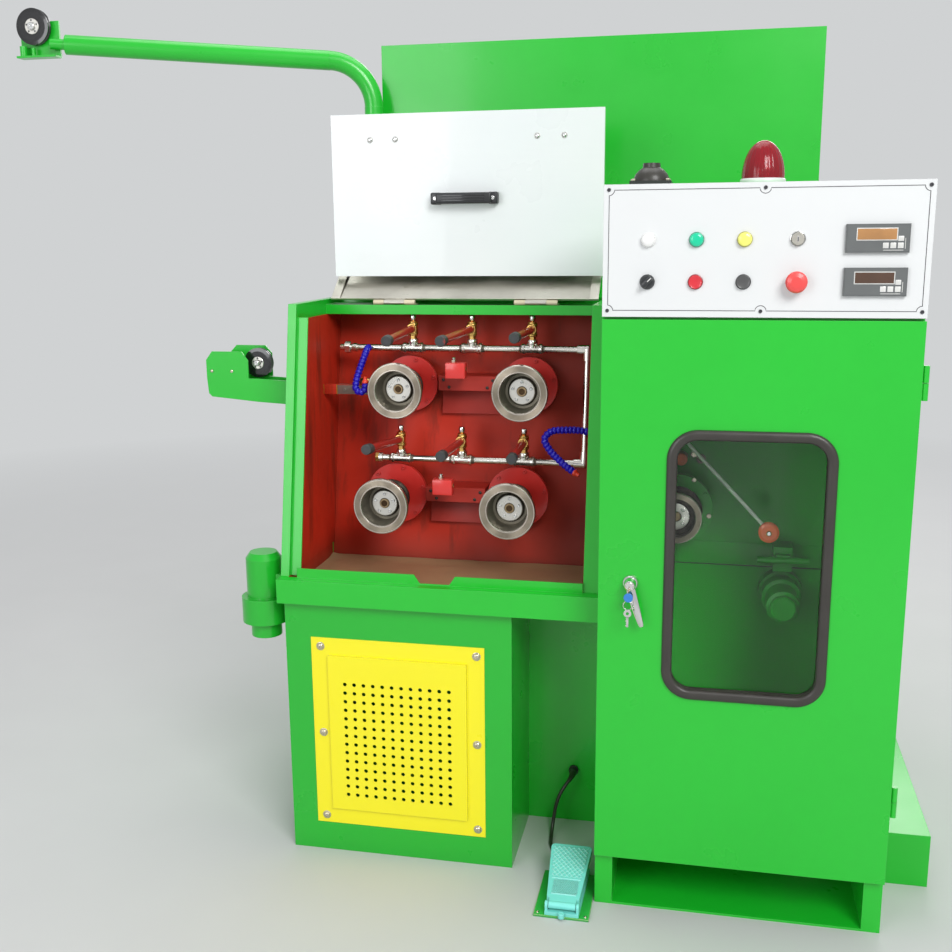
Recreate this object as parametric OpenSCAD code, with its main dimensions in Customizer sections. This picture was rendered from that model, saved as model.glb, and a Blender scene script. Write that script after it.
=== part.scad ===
// Fine wire drawing machine: a drawing chamber with four cone capstans on the left,
// a take-up cabinet with a glazed door on the right, an electrical cabinet behind.
// Millimetres. X to the right along the front, Y to the back, Z up.
// The origin is on the floor at the front left corner of the take-up cabinet's base.

/* [Take-up cabinet] */
// Width of the take-up cabinet
cabinet_w = 600; // [520:10:700]
// Depth of both cabinets, front frame to back
machine_depth = 730; // [680:10:800]
// Height of the open base under the take-up cabinet
base_h = 125; // [90:5:160]
// Height of the take-up cabinet above its base
cabinet_h = 1161; // [1100:5:1220]
// Thickness of the cabinet's folded sheet walls
cabinet_wall = 4; // [3:0.5:6]
// Width of the frame round the cabinet's front opening
frame_w = 30; // [24:2:40]
// Distance from the front frame to the plate that carries the take-up gear
gear_plate_y = 500; // [470:10:560]
// Thickness of the plate that carries the take-up gear
gear_plate_t = 8; // [6:1:12]
// Width of the two skids under the take-up cabinet
skid_w = 38; // [30:2:50]
// Width of the low cable duct along the right side
duct_w = 128; // [100:4:150]

/* [Door] */
// Depth of the folded door pan
door_t = 19; // [16:1:24]
// Thickness of the door's sheet
door_skin = 3; // [2:0.5:4]
// Gap between the door and the frame behind it
door_gap = 1; // [1:0.5:3]
// Height of the bottom edge of the window opening
window_z = 513; // [480:1:560]
// Width of the window opening
window_w = 306; // [260:2:340]
// Height of the window opening
window_h = 543; // [480:1:580]
// Corner radius of the window opening
window_r = 50; // [40:2:70]
// Distance from the door's left edge to the window opening
window_x = 143; // [130:1:150]
// Width of the rubber profile round the window
gasket_w = 20; // [12:1:22]
// Length of the lock lever from its rosette
lever_len = 98; // [80:2:110]

/* [Control box] */
// Height of the control box
box_h = 250; // [230:5:280]
// Depth of the control box
box_depth = 250; // [200:10:300]
// Thickness of the white panel plate
panel_t = 2; // [2:0.5:4]
// Radius of a 22 mm push button's bezel
bezel_r = 14.5; // [13:0.5:16]
// Width of a panel meter
meter_w = 112; // [96:1:116]
// Height of a panel meter
meter_h = 52; // [46:1:56]
// Radius of the warning beacon
beacon_r = 40; // [34:1:46]
// Height of the warning beacon's dome
beacon_h = 67; // [55:1:80]

/* [Drawing side] */
// Width of the drawing chamber and its tray
chamber_w = 745; // [720:5:800]
// Height of the underside of the drip tray
tray_z = 622; // [600:2:640]
// Height of the drip tray's front lip
lip_h = 56; // [50:2:60]
// Height of the top of the chamber's side walls
chamber_top = 1293; // [1280:1:1310]
// Angle that the chamber leans back
lean = 11; // [8:0.5:12]
// Thickness of the left side wall
left_wall_t = 20; // [16:1:24]
// Thickness of the right side wall
right_wall_t = 45; // [40:1:50]
// Depth of the chamber from its front edge to the back sheet
chamber_depth = 316; // [300:2:330]
// Thickness of the red lining sheets
liner_t = 3; // [2:0.5:4]
// Height of the rim that stands on the tray behind the lip
rim_h = 22; // [16:1:26]
// Width of the left base cabinet
left_base_w = 534; // [500:2:560]
// Distance from the floor frame's front to the left base cabinet's front
left_base_y = 98; // [90:2:110]
// Distance from the front to the back wall of the knee recess
recess_y = 345; // [300:5:380]

/* [Vent cover] */
// Width of the yellow vent cover
vent_w = 410; // [380:2:430]
// Height of the yellow vent cover
vent_h = 466; // [440:2:490]
// Height of the vent cover's bottom edge
vent_z = 72; // [60:2:90]
// Holes in a row of the vent cover
vent_cols = 12; // [8:1:12]
// Rows of holes in the vent cover
vent_rows = 14; // [10:1:14]
// Distance between holes along a row
vent_pitch_x = 22.5; // [20:0.5:24]
// Distance between rows of holes
vent_pitch_z = 21.3; // [19:0.1:24]
// Radius of the vent cover's holes
vent_hole_r = 4.5; // [3:0.5:6]

/* [Capstans] */
// Radius of a capstan's front ring
capstan_r = 66.5; // [60:0.5:70]
// Length of a capstan from its front ring to its bearing flange
capstan_len = 146; // [130:2:150]
// Inner radius of the front ring
ring_bore_r = 47; // [42:1:50]
// Depth of the recess in front of the hub
hub_recess = 40; // [30:1:46]
// Radius of the hub disc
hub_r = 31; // [26:1:34]
// Radius of a capstan's shaft
shaft_r = 11; // [9:0.5:13]
// Distance between the upper capstans
upper_spacing = 300; // [290:2:310]
// Distance between the lower capstans
lower_spacing = 304; // [290:2:310]
// Middle of the upper capstans, left of the take-up cabinet
upper_mid = 370; // [360:2:380]
// Middle of the lower capstans, left of the take-up cabinet
lower_mid = 391; // [380:1:400]
// Height of the upper capstans' axes
upper_z = 1085; // [1070:1:1095]
// Height of the lower capstans' axes
lower_z = 818; // [800:1:830]
// Distance from the front to the upper capstans' front rings
upper_y = 305; // [296:1:312]
// Distance from the front to the lower capstans' front rings
lower_y = 243; // [236:1:250]

// Radius of the upper capstans' bearing flanges
upper_flange_r = 69; // [64:1:72]
// Radius of the lower capstans' bearing flanges
lower_flange_r = 75; // [64:1:76]

/* [Coolant pipes] */
// Radius of the coolant pipes
pipe_r = 8; // [7:0.5:10]
// Distance between the upper valves
upper_valves = 148; // [140:1:155]
// Distance between the lower valves
lower_valves = 153; // [145:1:158]
// Height of the upper pipe
upper_pipe_z = 1174; // [1165:1:1185]
// Height of the lower pipe
lower_pipe_z = 908; // [895:1:915]
// Length of a red spray tube
spray_len = 190; // [150:5:200]
// Radius of a red spray tube
spray_r = 9; // [7:0.5:10]

/* [Lid] */
// Angle that the lid stands open
lid_open = 145; // [120:1:150]
// Depth of the lid's folded pans
pan_t = 15; // [12:1:16]
// Thickness of the lid's stainless sheet
lid_skin = 2; // [1.5:0.5:3]
// Length of the upper lid down the front slope
slope_len = 240; // [230:2:250]
// Length of the hinge arms between the upper and the lower lid
link_len = 44; // [40:1:50]
// Height of the lower lid
front_lid_h = 384; // [370:2:394]
// Part of the lower lid above its hinge
front_lid_up = 60; // [50:2:66]
// Width of the lower lid
front_lid_w = 665; // [600:5:670]

/* [Rear cabinet] */
// Width of the electrical cabinet at the back
rear_w = 1110; // [1000:10:1200]
// Depth of the electrical cabinet
rear_depth = 400; // [300:10:500]
// Height of the electrical cabinet
rear_h = 1927; // [1800:1:2000]
// How far the electrical cabinet reaches left of the take-up cabinet
rear_left = 655; // [600:5:700]

/* [Guide arm] */
// Radius of the guide arm's tube
arm_r = 24; // [20:1:28]
// Height of the guide arm's bend
arm_top = 1878; // [1840:2:1900]
// Length of the guide arm from its bend to its pulley
arm_len = 770; // [700:10:900]
// Angle that the guide arm rises
arm_rise = 3.3; // [0:0.1:8]
// Angle that the guide arm turns forward
arm_turn = 15; // [0:1:20]
// Radius of the guide arm's pulley
arm_pulley_r = 44; // [34:1:46]

/* [Foot pedal] */
// Width of the foot pedal
pedal_w = 93; // [84:1:100]
// Width of the foot pedal at its hinge
pedal_near_w = 74; // [68:2:80]
// Length of the foot pedal
pedal_len = 186; // [170:2:200]
// Height of the foot pedal at its heel end
pedal_low = 27; // [24:1:32]
// Height of the foot pedal at its toe end
pedal_high = 64; // [56:1:72]
// Thickness of the steel plate under the pedal
pedal_plate_t = 5; // [4:1:8]

/* [Hidden] */

$fn = 48;

green = [0.16, 0.66, 0.24];
red = [0.62, 0.15, 0.12];
steel = [0.75, 0.75, 0.73];

// Small working gap between pieces that turn on each other
fit = 0.3;
// Gap that a moving piece keeps from the others
clear = 5;

tray_top = tray_z + lip_h;
cabinet_top = base_h + cabinet_h;
door_z = base_h;
door_h = cabinet_h - clear;
door_y = -door_gap - door_t;
lip_y = 75;
front_y0 = 107;
back_y0 = front_y0 + chamber_depth;
basin_z = tray_z + 18;
rim_gap = 4;

// Depth of the leaning front edge and of the back sheet at height z
function front_y(z) = front_y0 + (z - tray_top) * tan(lean);
function back_y(z) = back_y0 + (z - tray_top) * tan(lean);

// A profile in Y and Z, pushed along X from x0 to x1
module yz_plate(x0, x1, points) {
    translate([x0, 0, 0]) rotate([90, 0, 90]) linear_extrude(height = x1 - x0) polygon(points);
}

// A box between two corners
module block(low, high) {
    translate(low) cube(high - low);
}

// A profile in X and Z, pushed along Y from y0 to y1
module xz_plate(y0, y1, points) {
    translate([0, y1, 0]) rotate([90, 0, 0]) linear_extrude(height = y1 - y0) polygon(points);
}

// A round bar along Y from y0 to y1
module y_bar(x, z, y0, y1, r) {
    translate([x, y0, z]) rotate([-90, 0, 0]) cylinder(h = y1 - y0, r = r);
}

// A round bar along X from x0 to x1
module x_bar(y, z, x0, x1, r) {
    translate([x0, y, z]) rotate([0, 90, 0]) cylinder(h = x1 - x0, r = r);
}

// A round bar between any two points
module bar(a, b, r) {
    d = b - a;
    length = norm(d);
    translate(a) rotate([0, acos(d[2] / length), atan2(d[1], d[0])]) cylinder(h = length, r = r);
}

// A profile of radius and depth, turned about an axis along Y
module y_turned(x, y, z, points) {
    translate([x, y, z]) rotate([-90, 0, 0]) rotate_extrude($fn = 64) polygon(points);
}

// A rectangle with round corners in X and Z, pushed along Y
module rounded_window(x, z, w, h, r, y0, y1) {
    translate([x, y1, z]) rotate([90, 0, 0]) linear_extrude(height = y1 - y0)
        union() {
            translate([r, 0]) square([w - 2 * r, h]);
            translate([0, r]) square([w, h - 2 * r]);
            for (cx = [r, w - r], cz = [r, h - r]) translate([cx, cz]) circle(r = r);
        }
}

// Left base cabinet with the motor space behind the vent cover
module left_base() {
    x0 = -left_base_w - left_gap;
    color(green) difference() {
        block([x0, left_base_y, 0], [-left_gap, recess_y, tray_z]);
        block([vent_x + vent_edge, left_base_y - 1, vent_z + vent_edge],
            [vent_x + vent_w - vent_edge, left_base_y + 200, vent_z + vent_h - vent_edge]);
    }
}
left_gap = 202;
vent_edge = 45;
vent_x = -left_gap - left_base_w / 2 - vent_w / 2;

// Pressed yellow sheet with a raised field of holes
module vent_cover() {
    sheet = 2;
    raise = 8;
    y0 = left_base_y - sheet;
    fx0 = vent_x + vent_edge - 4;
    fx1 = vent_x + vent_w - vent_edge + 4;
    fz0 = vent_z + vent_edge - 4;
    fz1 = vent_z + vent_h - vent_edge + 4;
    mid_x = vent_x + vent_w / 2;
    mid_z = vent_z + vent_h / 2 - 14;
    color([0.93, 0.8, 0.1]) difference() {
        union() {
            block([vent_x, y0, vent_z], [vent_x + vent_w, left_base_y, vent_z + vent_h]);
            block([fx0, y0 - raise, fz0], [fx1, y0, fz1]);
        }
        block([fx0 + sheet, y0 - raise + sheet, fz0 + sheet],
            [fx1 - sheet, left_base_y + 1, fz1 - sheet]);
        for (c = [0 : vent_cols - 1], r = [0 : vent_rows - 1])
            translate([mid_x + (c - (vent_cols - 1) / 2) * vent_pitch_x, y0,
                mid_z + (r - (vent_rows - 1) / 2) * vent_pitch_z])
                rotate([90, 0, 0]) cylinder(h = raise + 1, r = vent_hole_r, $fn = 16);
    }
}

// Closed housing behind the chamber with the gears and the main motor
module machine_body() {
    color(green) yz_plate(-chamber_w, 0, [
        [recess_y, 0], [recess_y, tray_z], [back_y(tray_z) + liner_t, tray_z],
        [back_y(chamber_top) + liner_t, chamber_top], [machine_depth, chamber_top],
        [machine_depth, 0]]);
}

// Drip tray under the chamber, with a front lip, a basin and a notched rim
module drip_tray() {
    basin_x = -chamber_w + left_wall_t;
    rim_x = basin_x + 22;
    notch = 96;
    notch_mid = -378;
    color(green) {
        difference() {
            yz_plate(-chamber_w, 0, [
                [lip_y, tray_z], [lip_y, tray_top], [back_y(tray_top) + liner_t, tray_top],
                [back_y(tray_z) + liner_t, tray_z]]);
            yz_plate(basin_x, -right_wall_t, [
                [front_y0 - rim_gap, basin_z], [front_y0 - rim_gap, tray_top + 1],
                [back_y(tray_top + 1) + liner_t + 1, tray_top + 1],
                [back_y(basin_z) + liner_t + 1, basin_z]]);
        }
        translate([0, front_y0 - rim_gap, 0]) rotate([90, 0, 0]) linear_extrude(height = 3) difference() {
            translate([rim_x, tray_top]) square([-right_wall_t - rim_x, rim_h]);
            polygon([[notch_mid - notch / 2, tray_top + rim_h + 1],
                [notch_mid - notch / 2 + 14, tray_top + 2],
                [notch_mid + notch / 2 - 14, tray_top + 2],
                [notch_mid + notch / 2, tray_top + rim_h + 1]]);
        }
    }
}

// Side profile of the chamber's walls
function wall_profile() = [
    [front_y(tray_top), tray_top], [front_y(chamber_top), chamber_top],
    [back_y(chamber_top) + liner_t, chamber_top], [back_y(tray_top) + liner_t, tray_top]];

module left_wall() {
    x0 = -chamber_w;
    flange_w = 25;
    flange_y = 10;
    flange_t = 4;
    flange_top = beam_top - pan_t - 3;
    color(green) {
        yz_plate(x0, x0 + left_wall_t, wall_profile());
        yz_plate(x0 + left_wall_t, x0 + left_wall_t + flange_w, [
            [front_y(tray_top) + flange_y, tray_top],
            [front_y(flange_top) + flange_y, flange_top],
            [front_y(flange_top) + flange_y + flange_t, flange_top],
            [front_y(tray_top) + flange_y + flange_t, tray_top]]);
    }
}

module right_wall() {
    color(green) yz_plate(-right_wall_t, 0, wall_profile());
}

// Leaning side walls of the chamber with the beam between them
module chamber_frame() {
    left_wall();
    right_wall();
    top_beam();
}

beam_y = front_y0 + 321;
beam_top = chamber_top - 13;
beam_t = 6;
beam_fold = 23;
// Height up to which the red lining reaches
liner_top = beam_top - beam_fold;
// Gap that keeps a leaning sheet clear of the face behind it
seam = 0.05;

// Red sheets on the back and the sides of the chamber
module chamber_liner() {
    x0 = -chamber_w + left_wall_t;
    x1 = -right_wall_t;
    flange_back = 16;
    side = [
        [front_y(tray_top) + flange_back, tray_top],
        [front_y(liner_top) + flange_back, liner_top],
        [back_y(liner_top), liner_top], [back_y(tray_top), tray_top]];
    color(red) {
        yz_plate(x0, x1, [
            [back_y(basin_z), basin_z], [back_y(liner_top), liner_top],
            [back_y(liner_top) + liner_t - seam, liner_top],
            [back_y(basin_z) + liner_t - seam, basin_z]]);
        yz_plate(x0, x0 + liner_t, side);
        yz_plate(x1 - liner_t, x1, side);
    }
}

// Folded beam across the top, with the deck behind it
module top_beam() {
    color(green) yz_plate(-chamber_w + left_wall_t, -right_wall_t, [
        [beam_y, beam_top - beam_fold], [beam_y + beam_t, beam_top - beam_fold],
        [beam_y + beam_t, beam_top - beam_t],
        [back_y(beam_top - beam_t) + liner_t, beam_top - beam_t],
        [back_y(beam_top) + liner_t, beam_top], [beam_y, beam_top]]);
}

// Axis of the lid's main hinge
hinge_y = beam_y + 2;
hinge_z = beam_top + 6.3;
knuckle_r = 6;
hinge_len = 104;
hinge_x = [-550, -201];
lid_x0 = -chamber_w + left_wall_t + 12;
lid_x1 = -right_wall_t - 8;

// Fixed halves of the two lid hinges
module lid_hinges() {
    color(steel) for (x = hinge_x) {
        block([x - hinge_len / 2, hinge_y + 7, beam_top], [x + hinge_len / 2, hinge_y + 36, beam_top + 3]);
        for (s = [-1, 1]) {
            xs = x + s * (hinge_len / 2 - 13);
            x_bar(hinge_y, hinge_z, xs - 13, xs + 13, knuckle_r);
            block([xs - 13, hinge_y, beam_top + 0.3], [xs + 13, hinge_y + 8, beam_top + 3]);
        }
        x_bar(hinge_y, hinge_z, x - hinge_len / 2, x + hinge_len / 2, 2.5);
    }
}

// Red trays between each pair of capstans, each with its die holder
module die_trays() {
    die_beams();
    die_boxes();
}
module die_beams() {
    color(red) {
        die_beam(upper_mid, upper_z, upper_y);
        die_beam(lower_mid, lower_z, lower_y);
    }
}
module die_beam(mid, z, y) {
    front = y + capstan_len - 12;
    half = 74;
    yz_plate(-mid - half, -mid + half, [
        [front, z - 14], [front, z + 22], [back_y(z + 22), z + 22],
        [back_y(z - 76), z - 76], [back_y(z - 76) - 14, z - 76], [back_y(z - 14) - 14, z - 14]]);
}

die_box_w = 48;
die_box_t = 26;
module die_boxes() {
    color(red) {
        die_box(upper_mid + 17, upper_z, upper_y, 24);
        die_box(lower_mid + 17, lower_z, lower_y, 18);
    }
}
module die_box(mid, z, y, foot) {
    y0 = y + 66;
    y1 = y0 + die_box_t;
    difference() {
        block([-mid - die_box_w / 2, y0, z + foot], [-mid + die_box_w / 2, y1, z + foot + 37]);
        x_bar(y0 + die_box_t / 2, z + foot + 22, -mid - die_box_w, -mid + die_box_w, 4);
    }
    block([-mid - 10, y1 - 22, z + 22], [-mid + 10, y + capstan_len + 2, z + 24]);
    translate([-mid - 6, y0 + 16, z + foot + 37]) cylinder(h = 5, r = 5, $fn = 6);
    translate([-mid - 6, y0 + 16, z + foot + 42]) cylinder(h = 4, r = 3);
}

// Red bearing flanges on the back sheet, each with its shaft
module capstan_housings() {
    color(red) {
        for (s = [-1, 1]) {
            housing(-upper_mid + s * upper_spacing / 2, upper_y, upper_z, upper_flange_r);
            housing(-lower_mid + s * lower_spacing / 2, lower_y, lower_z, lower_flange_r);
        }
    }
}
module housing(x, y, z, r) {
    yf = y + capstan_len + 4;
    bottom = z - 50;
    difference() {
        union() {
            y_bar(x, z, yf, yf + 12, r);
            y_bar(x, z, yf + 12, back_y(z) + 30, 50);
        }
        yz_plate(x - r - 5, x + r + 5, [
            [back_y(bottom - 40), bottom - 40], [back_y(z + 90), z + 90],
            [back_y(z + 90) + 90, z + 90], [back_y(bottom - 40) + 90, bottom - 40]]);
    }
    y_bar(x, z, y + hub_recess + 4, yf, shaft_r);
}

// Cone capstan: a polished front ring, a recessed hub and stepped wire cones
module capstan(x, y, z) {
    bore = shaft_r + fit;
    end = capstan_len;
    color(steel) difference() {
        y_turned(x, y, z, [
            [bore, hub_recess], [hub_r, hub_recess], [hub_r, hub_recess + 6],
            [hub_r + 4, hub_recess + 8], [ring_bore_r - 6, hub_recess + 8],
            [ring_bore_r, 14], [ring_bore_r, 1], [ring_bore_r + 1, 0],
            [capstan_r - 1.5, 0], [capstan_r, 1.5], [capstan_r, 11], [capstan_r - 3, 13],
            [51, 14], [51, 20], [49, 22], [49, 34], [47, 36], [47, 48],
            [45, 50], [45, 62], [43, 64], [43, 76], [41, 78], [41, 92], [45, 93],
            [45, 102], [43, 104], [34, 105], [34, end - 14], [26, end - 12], [26, end], [bore, end]]);
        for (a = [45 : 90 : 315])
            translate([x + 22 * cos(a), y + hub_recess, z + 22 * sin(a)])
                rotate([-90, 0, 0]) cylinder(h = 6, r = 3.4, $fn = 24);
    }
}
module capstan_upper_left() capstan(-upper_mid - upper_spacing / 2, upper_y, upper_z);
module capstan_upper_right() capstan(-upper_mid + upper_spacing / 2, upper_y, upper_z);
module capstan_lower_left() capstan(-lower_mid - lower_spacing / 2, lower_y, lower_z);
module capstan_lower_right() capstan(-lower_mid + lower_spacing / 2, lower_y, lower_z);

upper_pipe_y = 447;
lower_pipe_y = 391;
upper_valve_x = -508;
lower_valve_x = -529;
riser_x = -78;
function upper_valve(i) = [upper_valve_x + i * upper_valves, upper_pipe_y, upper_pipe_z];
function lower_valve(i) = [lower_valve_x + i * lower_valves, lower_pipe_y, lower_pipe_z];

// Threaded steel tee with its nipple
module pipe_tee(p) {
    x_bar(p[1], p[2], p[0] - 21, p[0] + 21, pipe_r + 3.5);
    for (s = [-1, 1]) x_bar(p[1], p[2], p[0] + s * 21 - 4, p[0] + s * 21 + 4, pipe_r + 5);
    translate(p) cylinder(h = 22, r = pipe_r + 3);
    translate(p + [0, 0, 14]) cylinder(h = 9, r = pipe_r + 4.5);
}

// Steel pipework: two pipes with tees and the riser on the right
module coolant_pipes() {
    up = [riser_x, upper_pipe_y, upper_pipe_z];
    low = [riser_x, lower_pipe_y, lower_pipe_z];
    color(steel) {
        x_bar(upper_pipe_y, upper_pipe_z, -696, riser_x, pipe_r);
        x_bar(upper_pipe_y, upper_pipe_z, -684, -668, pipe_r + 5);
        x_bar(upper_pipe_y, upper_pipe_z, -662, -652, pipe_r + 3);
        x_bar(lower_pipe_y, lower_pipe_z, -590, riser_x, pipe_r);
        x_bar(lower_pipe_y, lower_pipe_z, -586, -576, pipe_r + 4);
        for (i = [0 : 2]) {
            pipe_tee(upper_valve(i));
            pipe_tee(lower_valve(i));
        }
        bar(low, up, pipe_r);
        for (p = [up, low]) {
            translate(p) sphere(r = pipe_r + 4);
            x_bar(p[1], p[2], p[0] - 24, p[0], pipe_r + 3.5);
        }
        bar(up, up + (low - up) * 0.1, pipe_r + 3.5);
        bar(low, low + (up - low) * 0.1, pipe_r + 3.5);
        for (p = [up, low]) x_bar(p[1], p[2], p[0], -right_wall_t - liner_t, pipe_r);
    }
}

// Brass ball valves, each with a chromed cap
module coolant_valves() {
    color([0.75, 0.58, 0.25]) for (i = [0 : 2], p = [upper_valve(i), lower_valve(i)])
        translate(p + [0, 0, 23]) {
            cylinder(h = 8, r = 9, $fn = 6);
            translate([0, 0, 8]) cylinder(h = 34, r = 11);
            translate([0, 0, 42]) cylinder(h = 6, r = 5);
            translate([0, 0, 48]) cylinder(h = 9, r = 7);
        }
}

valve_mid = 48;
// Where each spray tube's nozzle lies from its valve, for a tube 190 mm long
spray_to = [[-7, -190, -12], [-27, -190, -11], [-10, -170, -4],
    [-34, -150, 3], [-11, -150, -7], [0, -150, -8]];

// Red spray tubes that reach forward over the capstans, with dark nozzles
module spray_tubes() {
    for (i = [0 : 5]) {
        p = (i < 3 ? upper_valve(i) : lower_valve(i - 3)) + [0, -11.6, valve_mid];
        q = p + spray_to[i] * spray_len / 190;
        color(red) bar(p, q, spray_r);
        color([0.2, 0.22, 0.22]) bar(q - (q - p) * 0.03, q + (q - p) * 0.06, spray_r + 3);
    }
}

// Blue segmented coolant hoses: beads along a hand-chosen route
left_hose = [[-620, upper_pipe_y - pipe_r, upper_pipe_z], [-620, 427, upper_pipe_z],
    [-619, 413, 1170], [-619, 399, 1160], [-621, 384, 1145], [-624, 369, 1127], [-627, 355, 1108],
    [-628, 346, 1090], [-626, 343, 1083], [-621, 341, 1078], [-614.5, 340, 1076.5],
    [-608, 339, 1078], [-603, 339, 1083], [-601, 339, 1090], [-601, 339, 1103], [-601, 339, 1115]];
right_hose = [[-48, 380, 985], [-58, 380, 985], [-74, 376, 989], [-94, 370, 992],
    [-118, 362, 993],
    [-144, 350, 991], [-156, 338, 974], [-145, 328, 953], [-126, 318, 933], [-106, 308, 915],
    [-86, 300, 901]];
module coolant_hoses() {
    color([0.1, 0.1, 0.6]) {
        tube(left_hose, 8.5, 12, [1, 1, 0.3]);
        tube(right_hose, 7.5, 12, [0, 1, 0]);
    }
}

module inlet_guide() {
    x0 = -chamber_w + left_wall_t + liner_t;
    color(steel) {
        block([x0, 382, upper_z - 21], [-606, 394, upper_z + 3]);
        x_bar(374, upper_z + 12, -640, -600, 9);
        block([-634, 374, upper_z + 2], [-612, 394, upper_z + 8]);
    }
}

// Corner of the closed lid and the ends of its slope, seen from the side
corner = [front_y(hinge_z) - 12 / cos(lean), hinge_z];
down = [-sin(lean), -cos(lean)];
out = [-cos(lean), sin(lean)];
slope_end = corner + slope_len * down;
pivot = corner + (slope_len + link_len) * down + 2.7 * out;
lid_back = hinge_y - 8;
pin_r = 3;
fold_r = 7;
fold_x = [-584, -174];

// Turns a closed lid piece to its open place
module opened() {
    translate([0, hinge_y, hinge_z]) rotate([-lid_open, 0, 0])
        translate([0, -hinge_y, -hinge_z]) children();
}

// Where a point turned by angle a about c comes to lie
function turned(p, c, a) = c + [
    (p[0] - c[0]) * cos(a) + (p[1] - c[1]) * sin(a),
    -(p[0] - c[0]) * sin(a) + (p[1] - c[1]) * cos(a)];
pivot_open = turned(pivot, [hinge_y, hinge_z], lid_open);

// Outline of the upper lid's pan, drawn in by a depth from its outer skin; the pan is
// shallower at its hinge
function lid_line(depth, shallow = 0) = [
    [lid_back, hinge_z - depth + shallow],
    corner + [depth * (1 - sin(lean)) / cos(lean), -depth],
    slope_end - depth * out];

// Upper lid: a pan bent over the chamber's top front edge, with arms to the lower lid
module lid_top() {
    skin = lid_line(0);
    shallow = pan_t - 5;
    rim = lid_line(pan_t, shallow);
    inside = lid_line(lid_skin);
    below = lid_line(pan_t + 1, shallow);
    lip = lid_line(pan_t - lid_skin, shallow);
    back = [-lid_skin, 0];
    flange = 22;
    color(steel) opened() {
        difference() {
            yz_plate(lid_x0, lid_x1, [skin[0], skin[1], skin[2], rim[2], rim[1], rim[0]]);
            yz_plate(lid_x0 + flange, lid_x1 - flange, [
                inside[0] + back, inside[1], inside[2] - lid_skin * down,
                below[2] - lid_skin * down, below[1], below[0] + back]);
            yz_plate(lid_x0 + lid_skin, lid_x1 - lid_skin, [
                inside[0] + back, inside[1], inside[2] - lid_skin * down,
                lip[2] - lid_skin * down, lip[1], lip[0] + back]);
        }
        for (x = hinge_x) difference() {
            union() {
                x_bar(hinge_y, hinge_z, x - 25.5, x + 25.5, knuckle_r);
                block([x - 25.5, lid_back - 1, hinge_z - 3], [x + 25.5, hinge_y, hinge_z]);
            }
            x_bar(hinge_y, hinge_z, x - 26, x + 26, 2.5 + fit / 2);
        }
        for (x = fold_x) difference() {
            union() {
                yz_plate(x - 16, x + 16, [
                    slope_end - 11 * out, slope_end - 2 * out, pivot + 5 * out, pivot - 5 * out]);
                x_bar(pivot[0], pivot[1], x - 16, x + 16, fold_r);
            }
            x_bar(pivot[0], pivot[1], x - 17, x + 17, pin_r + fit / 2);
        }
    }
}
front_x0 = lid_x0;
front_x1 = lid_x0 + front_lid_w;

// Lower lid: a flat pan that hangs from the upper one by two bolted hinges
module lid_front() {
    y1 = pivot_open[0] - 2.8;
    y0 = y1 - pan_t;
    z0 = pivot_open[1] - (front_lid_h - front_lid_up);
    z1 = pivot_open[1] + front_lid_up;
    pz = pivot_open[1];
    color("white") {
        difference() {
            block([front_x0, y0, z0], [front_x1, y1, z1]);
            block([front_x0 + lid_skin, y0 + lid_skin, z0 + lid_skin],
                [front_x1 - lid_skin, y1 + 1, z1 - lid_skin]);
        }
        for (x = fold_x) {
            block([x - 42, y0 + lid_skin, pz - 16], [x + 42, y0 + lid_skin + 3, pz + 16]);
            for (s = [-1, 1]) {
                block([x + s * 19.5 - 3, y0 + lid_skin + 3, pz - fold_r],
                    [x + s * 19.5 + 3, pivot_open[0], pz + fold_r]);
                x_bar(pivot_open[0], pz, x + s * 19.5 - 3, x + s * 19.5 + 3, fold_r);
            }
            x_bar(pivot_open[0], pz, x - 22, x + 22, pin_r);
        }
    }
}

// Black pull handle on the lower lid
module lid_handle() {
    w = 164;
    x0 = -379;
    y1 = pivot_open[0] - 2.8 - pan_t;
    z = pivot_open[1] - 140;
    h = 14;
    color([0.15, 0.15, 0.16]) {
        for (x = [x0 - w / 2, x0 + w / 2 - 26]) block([x, y1 - 26, z - h], [x + 26, y1, z + h]);
        block([x0 - w / 2 + 10, y1 - 34, z - h], [x0 + w / 2 - 10, y1 - 20, z + h]);
    }
}

// Electrical cabinet behind the machine, with two doors at its back
module rear_cabinet() {
    x0 = -rear_left;
    x1 = -rear_left + rear_w;
    y0 = machine_depth;
    y1 = machine_depth + rear_depth;
    plinth = 100;
    color(green) {
        block([x0 + 20, y0, 0], [x1 - 20, y1 - 20, plinth]);
        block([x0, y0, plinth], [x1, y1, rear_h]);
        for (x = [x0 + 12, (x0 + x1) / 2 + 2])
            block([x, y1, plinth + 15], [x + rear_w / 2 - 14, y1 + 3, rear_h - 15]);
    }
}

// Shell of the take-up cabinet, open at the front
module takeup_cabinet() {
    w = cabinet_wall;
    color(green) {
        difference() {
            block([0, 0, base_h], [cabinet_w, machine_depth, cabinet_top]);
            block([w, w, base_h + w], [cabinet_w - w, machine_depth - w, cabinet_top - w]);
            block([frame_w, -1, base_h + frame_w],
                [cabinet_w - frame_w, w + 1, cabinet_top - frame_w]);
        }
        for (z = door_hinge_z) {
            block([cabinet_w, 2, z + 1], [cabinet_w + 3, 34, z + 33]);
            block([cabinet_w + 2, hinge_pin_y, z + 1], [cabinet_w + 6, 34, z + 33]);
            translate([hinge_pin_x, hinge_pin_y, z + 1]) cylinder(h = 32, r = 6);
            translate([hinge_pin_x, hinge_pin_y, z - 32]) cylinder(h = 34, r = 2.5);
        }
    }
}
door_hinge_z = [308, 1165];
hinge_pin_x = cabinet_w + 7;
hinge_pin_y = -11;

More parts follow.
